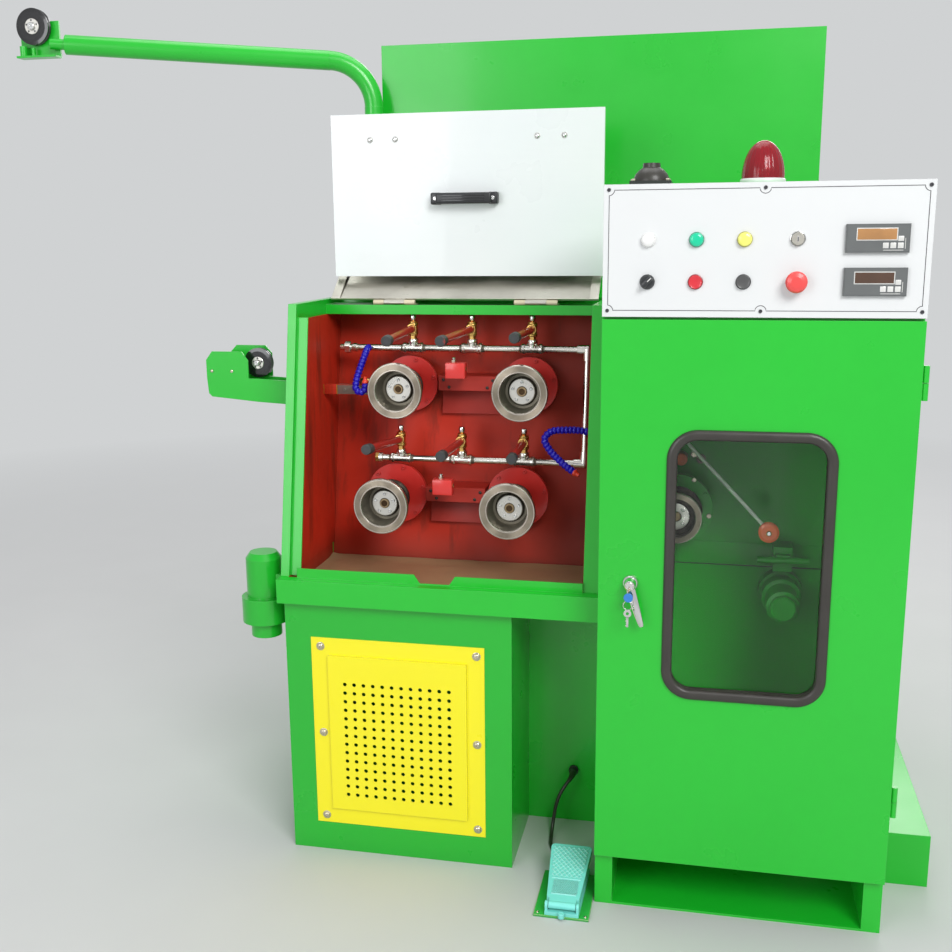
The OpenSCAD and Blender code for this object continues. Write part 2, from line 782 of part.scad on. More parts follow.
// Two skids and the bottom plate under the take-up cabinet, with the duct on the right
module cabinet_base() {
    color(green) {
        for (x = [0, cabinet_w - skid_w])
            block([x, 0, 0], [x + skid_w, machine_depth, base_h]);
        block([skid_w, 0, 0], [cabinet_w - skid_w, machine_depth, 5]);
        block([cabinet_w, 200, 0], [cabinet_w + duct_w, machine_depth, base_h]);
    }
}

// Plate inside the cabinet with the bearing casting of the last capstan
module gear_plate() {
    w = cabinet_wall;
    color(green) block([w, gear_plate_y, base_h + w],
        [cabinet_w - w, gear_plate_y + gear_plate_t, cabinet_top - w]);
    final_housing();
    takeup_bearing();
}

box_y = -20;
// Control box on top of the take-up cabinet
module control_box() {
    color(green) block([0, box_y, cabinet_top], [cabinet_w, box_y + box_depth, cabinet_top + box_h]);
}

panel_y = box_y - panel_t;
row_1 = cabinet_top + 146;
row_2 = cabinet_top + 67;
button_x = [86, 177, 266, 362];
meter_x = 447;

// White front plate, held by six screws
module control_panel() {
    color("white") block([0, panel_y, cabinet_top], [cabinet_w, box_y, cabinet_top + box_h]);
}

// Lamps and push buttons in their round bezels, and two digital meters
module panel_instruments() {
    panel_meters();
    panel_buttons();
    stop_collar();
}
module panel_buttons() {
    color([0.6, 0.6, 0.6]) {
        for (x = button_x) lamp(x, row_1, 9);
        for (x = [button_x[1], button_x[2]]) lamp(x, row_2, 7);
    }
}
module lamp(x, z, h) {
    y_bar(x, z, panel_y - 4, panel_y, bezel_r);
    y_bar(x, z, panel_y - h, panel_y - 4, bezel_r - 3);
}

// Two-way selector with a flat grip
module selector_switch() {
    x = button_x[0];
    color([0.12, 0.12, 0.12]) {
        y_bar(x, row_2, panel_y - 6, panel_y - fit, bezel_r);
        intersection() {
            y_bar(x, row_2, panel_y - 18, panel_y - 6, bezel_r - 2);
            block([x - 4, panel_y - 18, row_2 - bezel_r], [x + 4, panel_y - 6, row_2 + bezel_r]);
        }
    }
}

// Red mushroom button
module emergency_stop() {
    color([0.8, 0.1, 0.1]) y_turned(button_x[3], panel_y, row_2, [
        [0, -6], [9.5, -6], [9.5, -16], [20, -17], [20, -23], [17, -27], [10, -29], [0, -29]]);
}

// Ring that guides the emergency stop's stem
module stop_collar() {
    color("silver") y_turned(button_x[3], panel_y, row_2, [
        [10, 0], [14.5, 0], [14.5, -8], [13.5, -9], [10, -9]]);
}

module panel_meters() {
    color([0.4, 0.4, 0.4]) for (z = [row_1, row_2]) {
        block([meter_x, panel_y - 8, z - meter_h / 2], [meter_x + meter_w, panel_y, z + meter_h / 2]);
    }
}

// Red warning beacon on its pale base ring
module beacon() {
    x = 297;
    y = 60;
    z = cabinet_top + box_h;
    color([0.6, 0.1, 0.12]) translate([x, y, z]) rotate_extrude() polygon(concat(
        [[0, 0], [beacon_r + 3, 0], [beacon_r + 3, 12], [beacon_r, 13]],
        [for (a = [0 : 10 : 80]) [beacon_r * pow(cos(a), 0.75), 13 + beacon_h * sin(a)]],
        [[0, 13 + beacon_h]]));
}

// Black flange of the cable conduit on top, and the pedal cable's gland
module cable_glands() {
    x = 85;
    y = 60;
    z = cabinet_top + box_h;
    color([0.1, 0.1, 0.1]) {
        block([x - 40, y - 40, z], [x + 40, y + 40, z + 8]);
        translate([x, y, z + 8]) cylinder(h = 12, r = 24, $fn = 6);
        translate([x, y, z + 20]) cylinder(h = 14, r = 16);
        y_bar(cord_x, cord_z, recess_y - 8, recess_y, 12);
        y_bar(cord_x, cord_z, recess_y - 22, recess_y - 8, 9);
    }
}

// Door pan with the window opening and its hinge knuckles
module door() {
    s = door_skin;
    y0 = door_y;
    y1 = -door_gap;
    z1 = door_z + door_h;
    color(green) {
        difference() {
            block([0, y0, door_z], [cabinet_w, y1, z1]);
            difference() {
                block([s, y0 + s, door_z + s], [cabinet_w - s, y1 + 1, z1 - s]);
                rounded_window(window_x - 20, window_z - 20, window_w + 40, window_h + 40,
                    window_r + 20, y0, y1);
            }
            rounded_window(window_x, window_z, window_w, window_h, window_r, y0 - 1, y1 + 1);
        }
        for (z = door_hinge_z) difference() {
            union() {
                translate([hinge_pin_x, hinge_pin_y, z - 33]) cylinder(h = 33, r = 6);
                block([cabinet_w, hinge_pin_y - 3, z - 33], [hinge_pin_x - 2, hinge_pin_y + 3, z]);
            }
            translate([hinge_pin_x, hinge_pin_y, z - 34]) cylinder(h = 36, r = 2.5 + fit);
        }
    }
}

pane_y = door_y + 8;
// Window pane in the middle of the rubber profile
module window_pane() {
    color([0.7, 0.85, 0.8, 0.4]) rounded_window(window_x + 4, window_z + 4, window_w - 8,
        window_h - 8, window_r - 4, pane_y, pane_y + 5);
}

// Black rubber profile that clamps the pane in the door
module window_gasket() {
    half = gasket_w / 2;
    color([0.12, 0.12, 0.12]) difference() {
        union() {
            rounded_window(window_x - half, window_z - half, window_w + gasket_w,
                window_h + gasket_w, window_r + half, door_y - 7, door_y);
            rounded_window(window_x, window_z, window_w, window_h, window_r, door_y, pane_y + 10);
        }
        rounded_window(window_x + half, window_z + half, window_w - gasket_w,
            window_h - gasket_w, window_r - half, door_y - 8, pane_y + 11);
        rounded_window(window_x + 4, window_z + 4, window_w - 8, window_h - 8,
            window_r - 4, pane_y, pane_y + 5);
    }
}

lock_x = 66;
lock_z = 747;
lever_tilt = 16.5;
// Chromed lock: a round rosette and a drop lever
module door_lock() {
    color(steel) {
        y_turned(lock_x, door_y, lock_z, [
            [0, -fit], [15, -fit], [15, -5], [12, -12], [9, -16], [9, -26], [0, -26]]);
        translate([lock_x, door_y - 26, lock_z]) rotate([0, -lever_tilt, 0]) {
            block([-8, 0, -lever_len + 8], [8, 8, 4]);
            translate([0, 8, -lever_len + 8]) rotate([90, 0, 0]) cylinder(h = 8, r = 8);
        }
    }
}

final_x = 144;
final_z = 800;
final_y = 320;
final_r = 60;
module final_housing() {
    yf = final_y + 96;
    color(green) {
        y_bar(final_x, final_z, yf, yf + 16, 84);
        y_bar(final_x, final_z, yf + 16, gear_plate_y, 66);
        y_bar(final_x, final_z, final_y + 26, yf, shaft_r);
        for (a = [30 : 60 : 330])
            y_bar(final_x + 75 * cos(a), final_z + 75 * sin(a), yf - 5, yf, 5);
    }
}

// Last capstan, a wide flanged wheel
module final_capstan() {
    bore = shaft_r + fit;
    color(steel) y_turned(final_x, final_y, final_z, [
        [bore, 22], [hub_r, 22], [hub_r + 2, 26], [final_r - 18, 26], [final_r - 15, 8],
        [final_r - 14, 0], [final_r - 1, 0], [final_r, 2], [final_r, 8], [final_r - 8, 12],
        [final_r - 8, 66], [final_r, 70], [final_r, 78], [final_r - 6, 80], [30, 81], [30, 90],
        [bore, 90]]);
}

dancer_pivot = [130, 1011];
dancer_end = [354, 774];
dancer_y = 345;
dancer_pulley_r = 23;
// Sprung dancer rod, with its boss at the upper left
module dancer_arm() {
    color(steel) difference() {
        union() {
            y_bar(dancer_pivot[0], dancer_pivot[1], dancer_y - 8, gear_plate_y - fit, 13);
            bar([dancer_pivot[0], dancer_y, dancer_pivot[1]],
                [dancer_end[0], dancer_y, dancer_end[1]], 3);
            y_bar(dancer_end[0], dancer_end[1], dancer_y - 24, dancer_y + 5, 5);
        }
    }
}

// Orange guide pulley at the dancer's end
module dancer_pulley() {
    r = dancer_pulley_r;
    color([0.9, 0.3, 0.1]) y_turned(dancer_end[0], dancer_y - 22, dancer_end[1], [
        [5 + fit, 0], [r - 6, 0], [r, 2], [r, 4], [r - 5, 8], [r, 12], [r, 14], [r - 6, 16],
        [5 + fit, 16]]);
}

spindle_x = 395;
spindle_z = 590;
// Pintle that carries the take-up spool
module takeup_spindle() {
    bore = shaft_r + fit;
    color(green) y_turned(spindle_x, 330, spindle_z, [
        [0, 0], [26, 0], [30, 4], [30, 18], [38, 20], [38, 86], [46, 90], [46, 130],
        [bore, 130], [bore, 60], [0, 60]]);
}

// Bearing of the spool pintle, and the traverse guide above it
module takeup_bearing() {
    x = spindle_x;
    z = spindle_z;
    color(green) {
        y_bar(x, z, 392, gear_plate_y, shaft_r);
        y_bar(x, z, 466, gear_plate_y, 52);
        block([x - 22, 440, z + 60], [x + 22, gear_plate_y, z + 120]);
        x_bar(425, z + 92, x - 60, x + 60, 8);
        block([x - 16, 425, z + 80], [x + 16, 440, z + 104]);
    }
}

arm_x = -664;
arm_y = 680;
arm_bend = 115;
// Green tube that leads the wire in from above
module guide_arm() {
    turn = 90 - arm_rise;
    straight = arm_top - chamber_top - arm_bend * tan(turn / 2);
    color(green) {
        translate([arm_x, arm_y, chamber_top]) rotate([0, 0, 180 + arm_turn]) {
            cylinder(h = 10, r = 50);
            translate([0, 0, 10]) cylinder(h = straight - 10, r = arm_r);
            translate([arm_bend, 0, straight]) rotate([90, 0, 180])
                rotate_extrude(angle = turn) translate([arm_bend, 0]) circle(r = arm_r - 0.5);
            translate([arm_bend * (1 - cos(turn)), 0, straight + arm_bend * sin(turn)])
                rotate([0, turn, 0]) cylinder(h = arm_len - arm_bend * tan(turn / 2), r = arm_r);
        }
        translate([arm_x, arm_y, chamber_top]) rotate([0, 0, 180 + arm_turn])
            translate([arm_bend * (1 - cos(turn)), 0, straight + arm_bend * sin(turn)])
                rotate([0, turn, 0]) cylinder(h = arm_len + 38 - arm_bend * tan(turn / 2), r = 13);
        block([arm_end[0] - 46, arm_end[1] + 12, arm_end[2] - 72],
            [arm_end[0] + 62, arm_end[1] + 18, arm_end[2] + 14]);
        block([arm_end[0] - 46, arm_end[1] - 14, arm_end[2] - 75],
            [arm_end[0] + 62, arm_end[1] + 18, arm_end[2] - 70]);
        y_bar(arm_end[0], arm_end[2], arm_end[1] - 12, arm_end[1] + 14, 6);
        y_bar(arm_end[0], arm_end[2], arm_end[1] - 14, arm_end[1] - 12, 9);
    }
    color("white") {
        translate([arm_end[0] - 32, arm_end[1] - 2, arm_end[2] - 71]) cylinder(h = 25, r = 9);
        translate([arm_end[0] - 4, arm_end[1] - 3, arm_end[2] - 71]) cylinder(h = 20, r = 5);
    }
}

arm_end = [-1488, 473, 1967];
// Black pulley at the end of the guide arm
module arm_pulley() {
    r = arm_pulley_r;
    color([0.1, 0.1, 0.1]) y_turned(arm_end[0], arm_end[1] - 8, arm_end[2], [
        [6 + fit, 0], [r - 8, 0], [r, 1], [r, 4], [r - 7, 8], [r, 12], [r, 15], [r - 8, 16],
        [6 + fit, 16]]);
}

infeed_y0 = 320;
infeed_y1 = 380;
infeed_x = -chamber_w - 256;
infeed_seam = upper_z + 22;
infeed_pulley_at = [infeed_x + 125, 350, infeed_seam + 36];

// Outline of the channel's side sheets
function channel_line() = [
    [infeed_x, infeed_seam], [infeed_x + 3, infeed_seam - 38], [infeed_x + 11, infeed_seam - 46],
    [infeed_x + 132, infeed_seam - 57], [-chamber_w, infeed_seam - 64],
    [-chamber_w, infeed_seam - 7], [infeed_x + 131, infeed_seam]];

// Tapered green channel on the left wall with its cover and the inlet pulley's back plate
module infeed_bracket() {
    sheet = 4;
    inlet_guide();
    color(green) {
        xz_plate(infeed_y0, infeed_y0 + sheet, channel_line());
        xz_plate(infeed_y1 - sheet, infeed_y1, channel_line());
        xz_plate(infeed_y0 + sheet, infeed_y1 - sheet, [
            [infeed_x + 11, infeed_seam - 46], [infeed_x + 132, infeed_seam - 57],
            [-chamber_w, infeed_seam - 64], [-chamber_w, infeed_seam - 64 + sheet],
            [infeed_x + 132, infeed_seam - 57 + sheet], [infeed_x + 11, infeed_seam - 46 + sheet]]);
        xz_plate(infeed_y0, infeed_y0 + sheet, [
            [infeed_x, infeed_seam], [infeed_x, infeed_seam + 44], [infeed_x + 16, infeed_seam + 65],
            [infeed_x + 93, infeed_seam + 65], [infeed_x + 109, infeed_seam + 44],
            [infeed_x + 109, infeed_seam]]);
        xz_plate(infeed_y1 - sheet, infeed_y1, [
            [infeed_x + 41, infeed_seam], [infeed_x + 41, infeed_seam + 59],
            [infeed_x + 57, infeed_seam + 76], [infeed_x + 133, infeed_seam + 76],
            [infeed_x + 149, infeed_seam + 58], [infeed_x + 149, infeed_seam]]);
        y_bar(infeed_pulley_at[0], infeed_pulley_at[2], infeed_y0 + 14, infeed_y1 - sheet, 6);
    }
}
module infeed_pulley() {
    r = 36;
    color([0.1, 0.1, 0.1]) y_turned(infeed_pulley_at[0], infeed_pulley_at[1] - 6, infeed_pulley_at[2], [
        [6 + fit, 0], [r - 8, 0], [r, 1], [r, 4], [r - 7, 7], [r, 10], [r, 13], [r - 8, 14],
        [6 + fit, 14]]);
}

// Coolant strainer on the left of the tray
module coolant_strainer() {
    x = -chamber_w - 63;
    y = 160;
    color(green) {
        translate([x, y, 515]) cylinder(h = 36, r = 36);
        translate([x, y, 551]) cylinder(h = 61, r = 55);
        translate([x, y, 612]) cylinder(h = 93, r = 42);
        translate([x, y, 705]) cylinder(h = 14, r1 = 42, r2 = 32);
        block([x, y - 20, 630], [-chamber_w, y + 20, 670]);
    }
}

pedal_x = -63;
pedal_y = -78;
pedal_hinge = [pedal_y + 12, 24];
// Steel plate and the cast base of the foot pedal
module pedal_base() {
    near = pedal_near_w / 2;
    x0 = pedal_x - near;
    x1 = pedal_x + near;
    y1 = pedal_y + pedal_len;
    t = pedal_plate_t;
    color([0.25, 0.6, 0.7]) {
        block([-124, -80, 0], [-4, 96, t]);
        translate([pedal_x, 0, t]) linear_extrude(height = 8) polygon([
            [-near, pedal_y], [near, pedal_y], [pedal_w / 2 - 4, y1], [4 - pedal_w / 2, y1]]);
        block([x0 + 16, y1 - 12, t + 8], [x1 - 16, y1, t + 20]);
        for (x = [x0, x1 - 6]) {
            block([x, pedal_y + 4, t], [x + 6, pedal_y + 20, pedal_hinge[1]]);
            x_bar(pedal_hinge[0], pedal_hinge[1], x, x + 6, 8);
        }
        x_bar(pedal_hinge[0], pedal_hinge[1], x0, x1, 3);
    }
}

// Treadle that rocks on the base's pin, wider at its far end
module pedal_treadle() {
    near = pedal_near_w / 2 - 7.5;
    far = pedal_w / 2;
    y0 = pedal_hinge[0] - 10;
    y1 = pedal_y + pedal_len;
    back = pedal_plate_t + pedal_high;
    color([0.3, 0.7, 0.8]) difference() {
        union() {
            intersection() {
                yz_plate(pedal_x - far, pedal_x + far, [
                    [pedal_hinge[0], 19], [pedal_hinge[0], 31], [pedal_y + 60, 40],
                    [y1, back], [y1, back - 12], [pedal_y + 60, 28]]);
                translate([pedal_x, 0, 0]) linear_extrude(height = back + 1) polygon([
                    [-near, y0], [near, y0], [near, y0 + 22], [near + 6, y0 + 25], [far, y1 - 9],
                    [far - 2, y1 - 3], [far - 8, y1], [8 - far, y1], [2 - far, y1 - 3],
                    [-far, y1 - 9], [-near - 6, y0 + 25], [-near, y0 + 22]]);
            }
            x_bar(pedal_hinge[0], pedal_hinge[1], pedal_x - near, pedal_x + near, 8);
        }
        x_bar(pedal_hinge[0], pedal_hinge[1], pedal_x - near - 1, pedal_x + near + 1, 3 + fit / 2);
    }
}

cord_x = -89;
cord_z = 138;
cord_r = 4.5;
// The pedal cable's route, from the gland to the back of the pedal
cord_route = [[-89, 323, 138], [-89, 312, 138], [-92, 301, 135], [-98, 292, 128], [-106, 285, 117],
    [-114, 280, 103], [-120, 277, 87], [-125, 276, 68], [-128, 275, 48], [-130, 272, 31],
    [-131, 263, 17], [-131, 250, 8], [-130, 235, 5], [-128, 216, 5], [-123, 198, 5],
    [-116, 182, 5], [-107, 168, 5], [-97, 155, 5], [-87, 143, 6], [-78, 133, 9], [-71, 124, 13],
    [-68, 116, 15], [-68, pedal_y + pedal_len, 15]];
module pedal_cord() {
    color([0.1, 0.1, 0.1]) tube(cord_route, cord_r, 8, [1, 0, 0]);
}

// A round tube swept along a list of points
module tube(path, r, sides, across) {
    n = len(path);
    dirs = [for (i = [0 : n - 1])
        let (a = path[max(i - 1, 0)], b = path[min(i + 1, n - 1)]) (b - a) / norm(b - a)];
    rings = [for (i = [0 : n - 1])
        let (d = dirs[i], side = cross(d, across), u = side / norm(side), v = cross(u, d))
            for (k = [0 : sides - 1])
                path[i] + r * cos(360 * k / sides) * u + r * sin(360 * k / sides) * v];
    faces = concat(
        [[for (k = [0 : sides - 1]) k]],
        [for (i = [0 : n - 2], k = [0 : sides - 1])
            [i * sides + k, (i + 1) * sides + k, (i + 1) * sides + (k + 1) % sides,
                i * sides + (k + 1) % sides]],
        [[for (k = [sides - 1 : -1 : 0]) (n - 1) * sides + k]]);
    polyhedron(points = rings, faces = faces, convexity = 4);
}

left_base();
vent_cover();
machine_body();
drip_tray();
chamber_frame();
chamber_liner();
lid_hinges();
die_trays();
capstan_housings();
capstan_upper_left();
capstan_upper_right();
capstan_lower_left();
capstan_lower_right();
coolant_pipes();
coolant_valves();
spray_tubes();
coolant_hoses();
lid_top();
lid_front();
lid_handle();
rear_cabinet();
takeup_cabinet();
cabinet_base();
gear_plate();
control_box();
control_panel();
panel_instruments();
selector_switch();
emergency_stop();
beacon();
cable_glands();
door();
window_pane();
window_gasket();
door_lock();
final_capstan();
dancer_arm();
dancer_pulley();
takeup_spindle();
guide_arm();
arm_pulley();
infeed_bracket();
infeed_pulley();
coolant_strainer();
pedal_base();
pedal_treadle();
pedal_cord();
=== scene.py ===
"""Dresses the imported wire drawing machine: materials, small details, light and camera."""
from math import cos, pi, radians, sin

import bmesh
import bpy
from mathutils import Matrix, Vector, noise


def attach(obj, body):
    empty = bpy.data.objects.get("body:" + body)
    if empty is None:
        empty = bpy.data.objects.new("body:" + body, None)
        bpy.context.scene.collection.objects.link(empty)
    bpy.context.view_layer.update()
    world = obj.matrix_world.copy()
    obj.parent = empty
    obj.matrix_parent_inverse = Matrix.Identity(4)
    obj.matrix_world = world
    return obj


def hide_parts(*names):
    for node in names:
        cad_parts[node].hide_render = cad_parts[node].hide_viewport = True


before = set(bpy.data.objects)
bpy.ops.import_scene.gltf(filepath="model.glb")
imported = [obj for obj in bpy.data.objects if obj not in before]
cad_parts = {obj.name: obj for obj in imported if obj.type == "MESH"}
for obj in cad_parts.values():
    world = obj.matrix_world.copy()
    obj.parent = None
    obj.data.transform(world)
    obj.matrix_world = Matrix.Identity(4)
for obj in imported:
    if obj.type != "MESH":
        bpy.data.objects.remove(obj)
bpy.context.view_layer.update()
scene = bpy.context.scene
X, Y, Z = Vector((1, 0, 0)), Vector((0, 1, 0)), Vector((0, 0, 1))
MM = 0.001


def place_camera(at, yaw, pitch, roll, lens):
    """Stands the camera where the photograph was taken from, with its angles in degrees."""
    yaw, pitch, roll = radians(yaw), radians(pitch), radians(roll)
    ahead = Vector((sin(yaw) * cos(pitch), cos(yaw) * cos(pitch), -sin(pitch)))
    right = Vector((cos(yaw), -sin(yaw), 0))
    below = ahead.cross(right)
    side = cos(roll) * right + sin(roll) * below
    under = -sin(roll) * right + cos(roll) * below
    data = bpy.data.cameras.new("camera")
    data.sensor_width = 36
    data.sensor_height = 36
    data.sensor_fit = "HORIZONTAL"
    data.lens = lens
    data.clip_end = 60
    camera = bpy.data.objects.new("camera", data)
    scene.collection.objects.link(camera)
    turn = Matrix((side, -under, -ahead)).transposed().to_4x4()
    camera.matrix_world = Matrix.Translation(at) @ turn
    scene.camera = camera


place_camera((0.2136, -2.2302, 1.4419), -11.965, 12.084, 0.503, 42.35)


# Materials
class Nodes:
    """A node tree, with short ways to add to it."""

    def __init__(self, tree, shader=None):
        self.tree = tree
        self.shader = shader

    def plug(self, node, *pins, **inputs):
        """Fills inputs in order or by name, with values or with sockets to link."""
        named = [(key.replace("_", " "), value) for key, value in inputs.items()]
        for key, value in [*enumerate(pins), *named]:
            if isinstance(value, bpy.types.NodeSocket):
                self.tree.links.new(value, node.inputs[key])
            else:
                node.inputs[key].default_value = value

    def put(self, kind, *pins, attributes=None, **inputs):
        made = self.tree.nodes.new("ShaderNode" + kind)
        for key, value in (attributes or {}).items():
            setattr(made, key, value)
        self.plug(made, *pins, **inputs)
        return made

    def surface(self, **inputs):
        self.plug(self.shader, **inputs)

    def place(self):
        return self.put("TexCoord").outputs["Object"]

    def stretch(self, scale=(1, 1, 1)):
        return self.put("Mapping", Vector=self.place(), Scale=scale).outputs[0]

    def cloud(self, scale, detail=3, at=None, roughness=0.5):
        at = at or self.stretch()
        return self.put("TexNoise", Vector=at, Scale=scale, Detail=detail,
            Roughness=roughness).outputs["Fac"]

    def remap(self, value, low, high, to_low=0.0, to_high=1.0):
        return self.put("MapRange", value, low, high, to_low, to_high,
            attributes={"clamp": True}).outputs[0]

    def math(self, operation, first, second=0.0):
        return self.put("Math", first, second, attributes={"operation": operation}).outputs[0]

    def times(self, first, second):
        return self.math("MULTIPLY", first, second)

    def mix(self, share, first, second):
        return self.put("MixRGB", share, first, second).outputs[0]

    def mix_shaders(self, share, first, second):
        return self.put("MixShader", share, first.outputs[0], second.outputs[0]).outputs[0]

    def bump(self, strength, distance, height, **normal):
        return self.put("Bump", Strength=strength, Distance=distance, Height=height, **normal).outputs[0]

    def soft_edge(self, radius):
        """The rounded normal of sharp edges, and how near to an edge a point is."""
        rounded = self.put("Bevel", attributes={"samples": 4}, Radius=radius).outputs[0]
        flat = self.put("NewGeometry").outputs["Normal"]
        same = self.put("VectorMath", rounded, flat,
            attributes={"operation": "DOT_PRODUCT"}).outputs["Value"]
        return rounded, self.remap(same, 0.999, 0.85)

    def closed_in(self, reach, start, most=1.0):
        """How closed in a point is: 0 in the open, most in a corner."""
        clear = self.put("AmbientOcclusion", attributes={"samples": 6}, Distance=reach).outputs["AO"]
        return self.remap(clear, start, 0.25, 0.0, most)

    def grooves(self, strength):
        """Stretches reflections as fine turned grooves round the Y axis do."""
        tangent = self.put("Tangent", attributes={"direction_type": "RADIAL", "axis": "Y"}).outputs[0]
        self.surface(Anisotropic=strength, Anisotropic_Rotation=0.25, Tangent=tangent)

    def seen(self):
        """1 where the camera sees a surface, directly or in metal and glass."""
        rays = self.put("LightPath").outputs
        direct = self.math("MAXIMUM", rays["Is Camera Ray"], rays["Is Glossy Ray"])
        return self.math("MAXIMUM", direct, rays["Is Transmission Ray"])


def rgb(red, green, blue):
    """An sRGB colour of 0 to 255 as linear RGBA."""
    def linear(c):
        c /= 255
        return c / 12.92 if c <= 0.04045 else ((c + 0.055) / 1.055) ** 2.4
    return (linear(red), linear(green), linear(blue), 1)


def shade(colour, factor):
    return tuple(min(1.0, c * factor) for c in colour[:3]) + (1,)


def new_material(name, colour, rough, metallic=0.0):
    made = bpy.data.materials.new(name)
    made.use_nodes = True
    made.diffuse_color = colour
    tree = Nodes(made.node_tree, made.node_tree.nodes["Principled BSDF"])
    tree.surface(Base_Color=colour, Roughness=rough, Metallic=metallic)
    return made, tree


def paint(name, colour, rough=0.3, coat=0.35, edge=0.35, edge_colour=None, tone=0.1, peel=0.12,
        radius=0.0016, corner_shade=0.0, corner_shade_colour=None):
    """Sprayed paint on sheet steel: slow tone changes, orange peel, edges tinted partly as worn paint and
    partly as a painted highlight, and painted shade darkening the corners.
    """
    colour = rgb(*colour)
    made, tree = new_material(name, colour, rough)
    tones = tree.math("ADD", tree.times(tree.cloud(1.7), 0.75), tree.times(tree.cloud(38, 5), 0.25))
    base = tree.mix(tree.remap(tones, 0.1, 0.9), shade(colour, 1 - tone), shade(colour, 1 + tone))
    normal, near = tree.soft_edge(radius)
    # Edge tint: worn paint, and a painted highlight where the tint is paler than the paint.
    edge_wear_and_highlight = tree.times(near, tree.remap(tree.cloud(45, 4), 0.35, 0.65, edge * 0.4, edge))
    base = tree.mix(edge_wear_and_highlight, base, rgb(*edge_colour) if edge_colour else shade(colour, 1.7))
    # Painted shade: corners found by ambient occlusion take a darker tint, broken up by noise.
    if corner_shade:
        ragged = tree.remap(tree.cloud(6, 5), 0.15, 0.85, corner_shade * 0.4, corner_shade)
        corner_shade_tint = rgb(*corner_shade_colour) if corner_shade_colour else (0.03, 0.03, 0.02, 1)
        base = tree.mix(tree.times(tree.closed_in(0.09, 0.85), ragged), base, corner_shade_tint)
    gloss = tree.remap(tree.cloud(9, 4), 0.1, 0.9, rough * 0.75, rough * 1.3)
    waves = tree.bump(0.12, 0.004, tree.cloud(4.5, 2), Normal=normal)
    skin = tree.bump(peel, 0.0004, tree.cloud(260, 2), Normal=waves)
    tree.surface(Base_Color=base, Roughness=gloss, Coat_Weight=coat, Coat_Roughness=0.12, Normal=skin)
    return made


def metal(name, colour, rough, scale, depth, stain, grain=(1, 1, 1), metallic=1.0):
    """Bare metal with a brushed or cast grain and duller stains."""
    colour = rgb(*colour)
    made, tree = new_material(name, colour, rough, metallic)
    lines = tree.cloud(scale, 5, tree.stretch(grain))
    patches = tree.cloud(14, 4)
    base = tree.mix(tree.remap(patches, 0.35, 0.65, 0.0, stain), colour, shade(colour, 0.55))
    base = tree.mix(tree.remap(lines, 0.3, 0.7, 0.0, 0.3), base, shade(colour, 0.8))
    gloss = tree.math("ADD", tree.remap(lines, 0.3, 0.7, rough * 0.7, rough * 1.1),
        tree.remap(patches, 0.4, 0.7, 0.0, rough * 0.5))
    normal, _ = tree.soft_edge(0.0008)
    tree.surface(Base_Color=base, Roughness=gloss, Normal=tree.bump(depth, 0.0003, lines, Normal=normal))
    return made


def turned_steel(name, centre):
    """A turned and polished ring in front, with darker steel behind it."""
    bright, dark = rgb(208, 199, 187), rgb(92, 86, 78)
    x, front, z = [c * MM for c in centre]
    made, tree = new_material(name, bright, 0.24, 1.0)
    at = tree.put("SeparateXYZ", tree.place()).outputs
    dx = tree.math("SUBTRACT", at[0], x)
    dz = tree.math("SUBTRACT", at[2], z)
    radius = tree.math("SQRT", tree.math("ADD", tree.times(dx, dx), tree.times(dz, dz)))
    angle = tree.math("ARCTAN2", dz, dx)
    rings = tree.put("CombineXYZ", tree.times(radius, 900), tree.times(angle, 0.8), tree.times(at[1], 700))
    lines = tree.cloud(1, 3, rings.outputs[0])
    behind = tree.remap(at[1], front + 0.013, front + 0.017)
    polished = tree.mix(tree.remap(lines, 0.3, 0.7), shade(bright, 0.78), bright)
    # Steel behind the front ring is darker.
    darker_behind = tree.mix(tree.remap(tree.cloud(70, 4), 0.35, 0.65), dark, shade(dark, 0.45))
    gloss = tree.math("ADD", tree.remap(lines, 0.3, 0.7, 0.2, 0.32), tree.times(behind, 0.2))
    tree.surface(Base_Color=tree.mix(behind, polished, darker_behind), Roughness=gloss,
        Normal=tree.bump(0.12, 0.0003, lines))
    tree.grooves(0.7)
    return made


def spun(name, colour):
    """A ring faced on a lathe."""
    colour = rgb(*colour)
    made, tree = new_material(name, colour, 0.36, 1.0)
    tones = tree.remap(tree.cloud(60, 4), 0.2, 0.8)
    tree.surface(Base_Color=tree.mix(tones, shade(colour, 0.8), shade(colour, 1.12)))
    tree.grooves(0.9)
    return made


def plastic(name, colour, rough, coat=0.2, grain=0.15, scale=300):
    colour = rgb(*colour)
    made, tree = new_material(name, colour, rough)
    spots = tree.cloud(25, 4)
    base = tree.mix(tree.remap(spots, 0.3, 0.7), shade(colour, 0.92), shade(colour, 1.08))
    gloss = tree.remap(spots, 0.3, 0.7, rough * 0.85, rough * 1.2)
    skin = tree.bump(grain, 0.0003, tree.cloud(scale, 2))
    tree.surface(Base_Color=base, Roughness=gloss, Coat_Weight=coat, Normal=skin)
    return made


def glass(name, colour, rough, clear, ior=1.3, share=1.0, haze=0.015):
    """Clear sheet that lets the lamps through, with wipe marks."""
    made, tree = new_material(name, colour, rough)
    wiped = tree.remap(tree.cloud(5, 4), 0.4, 0.7, rough, rough + haze)
    tree.surface(Transmission_Weight=share, IOR=ior, Roughness=wiped)
    lamp = tree.put("LightPath").outputs["Is Shadow Ray"]
    both = tree.mix_shaders(lamp, tree.shader, tree.put("BsdfTransparent", Color=clear))
    tree.plug(made.node_tree.nodes["Material Output"], both)
    return made


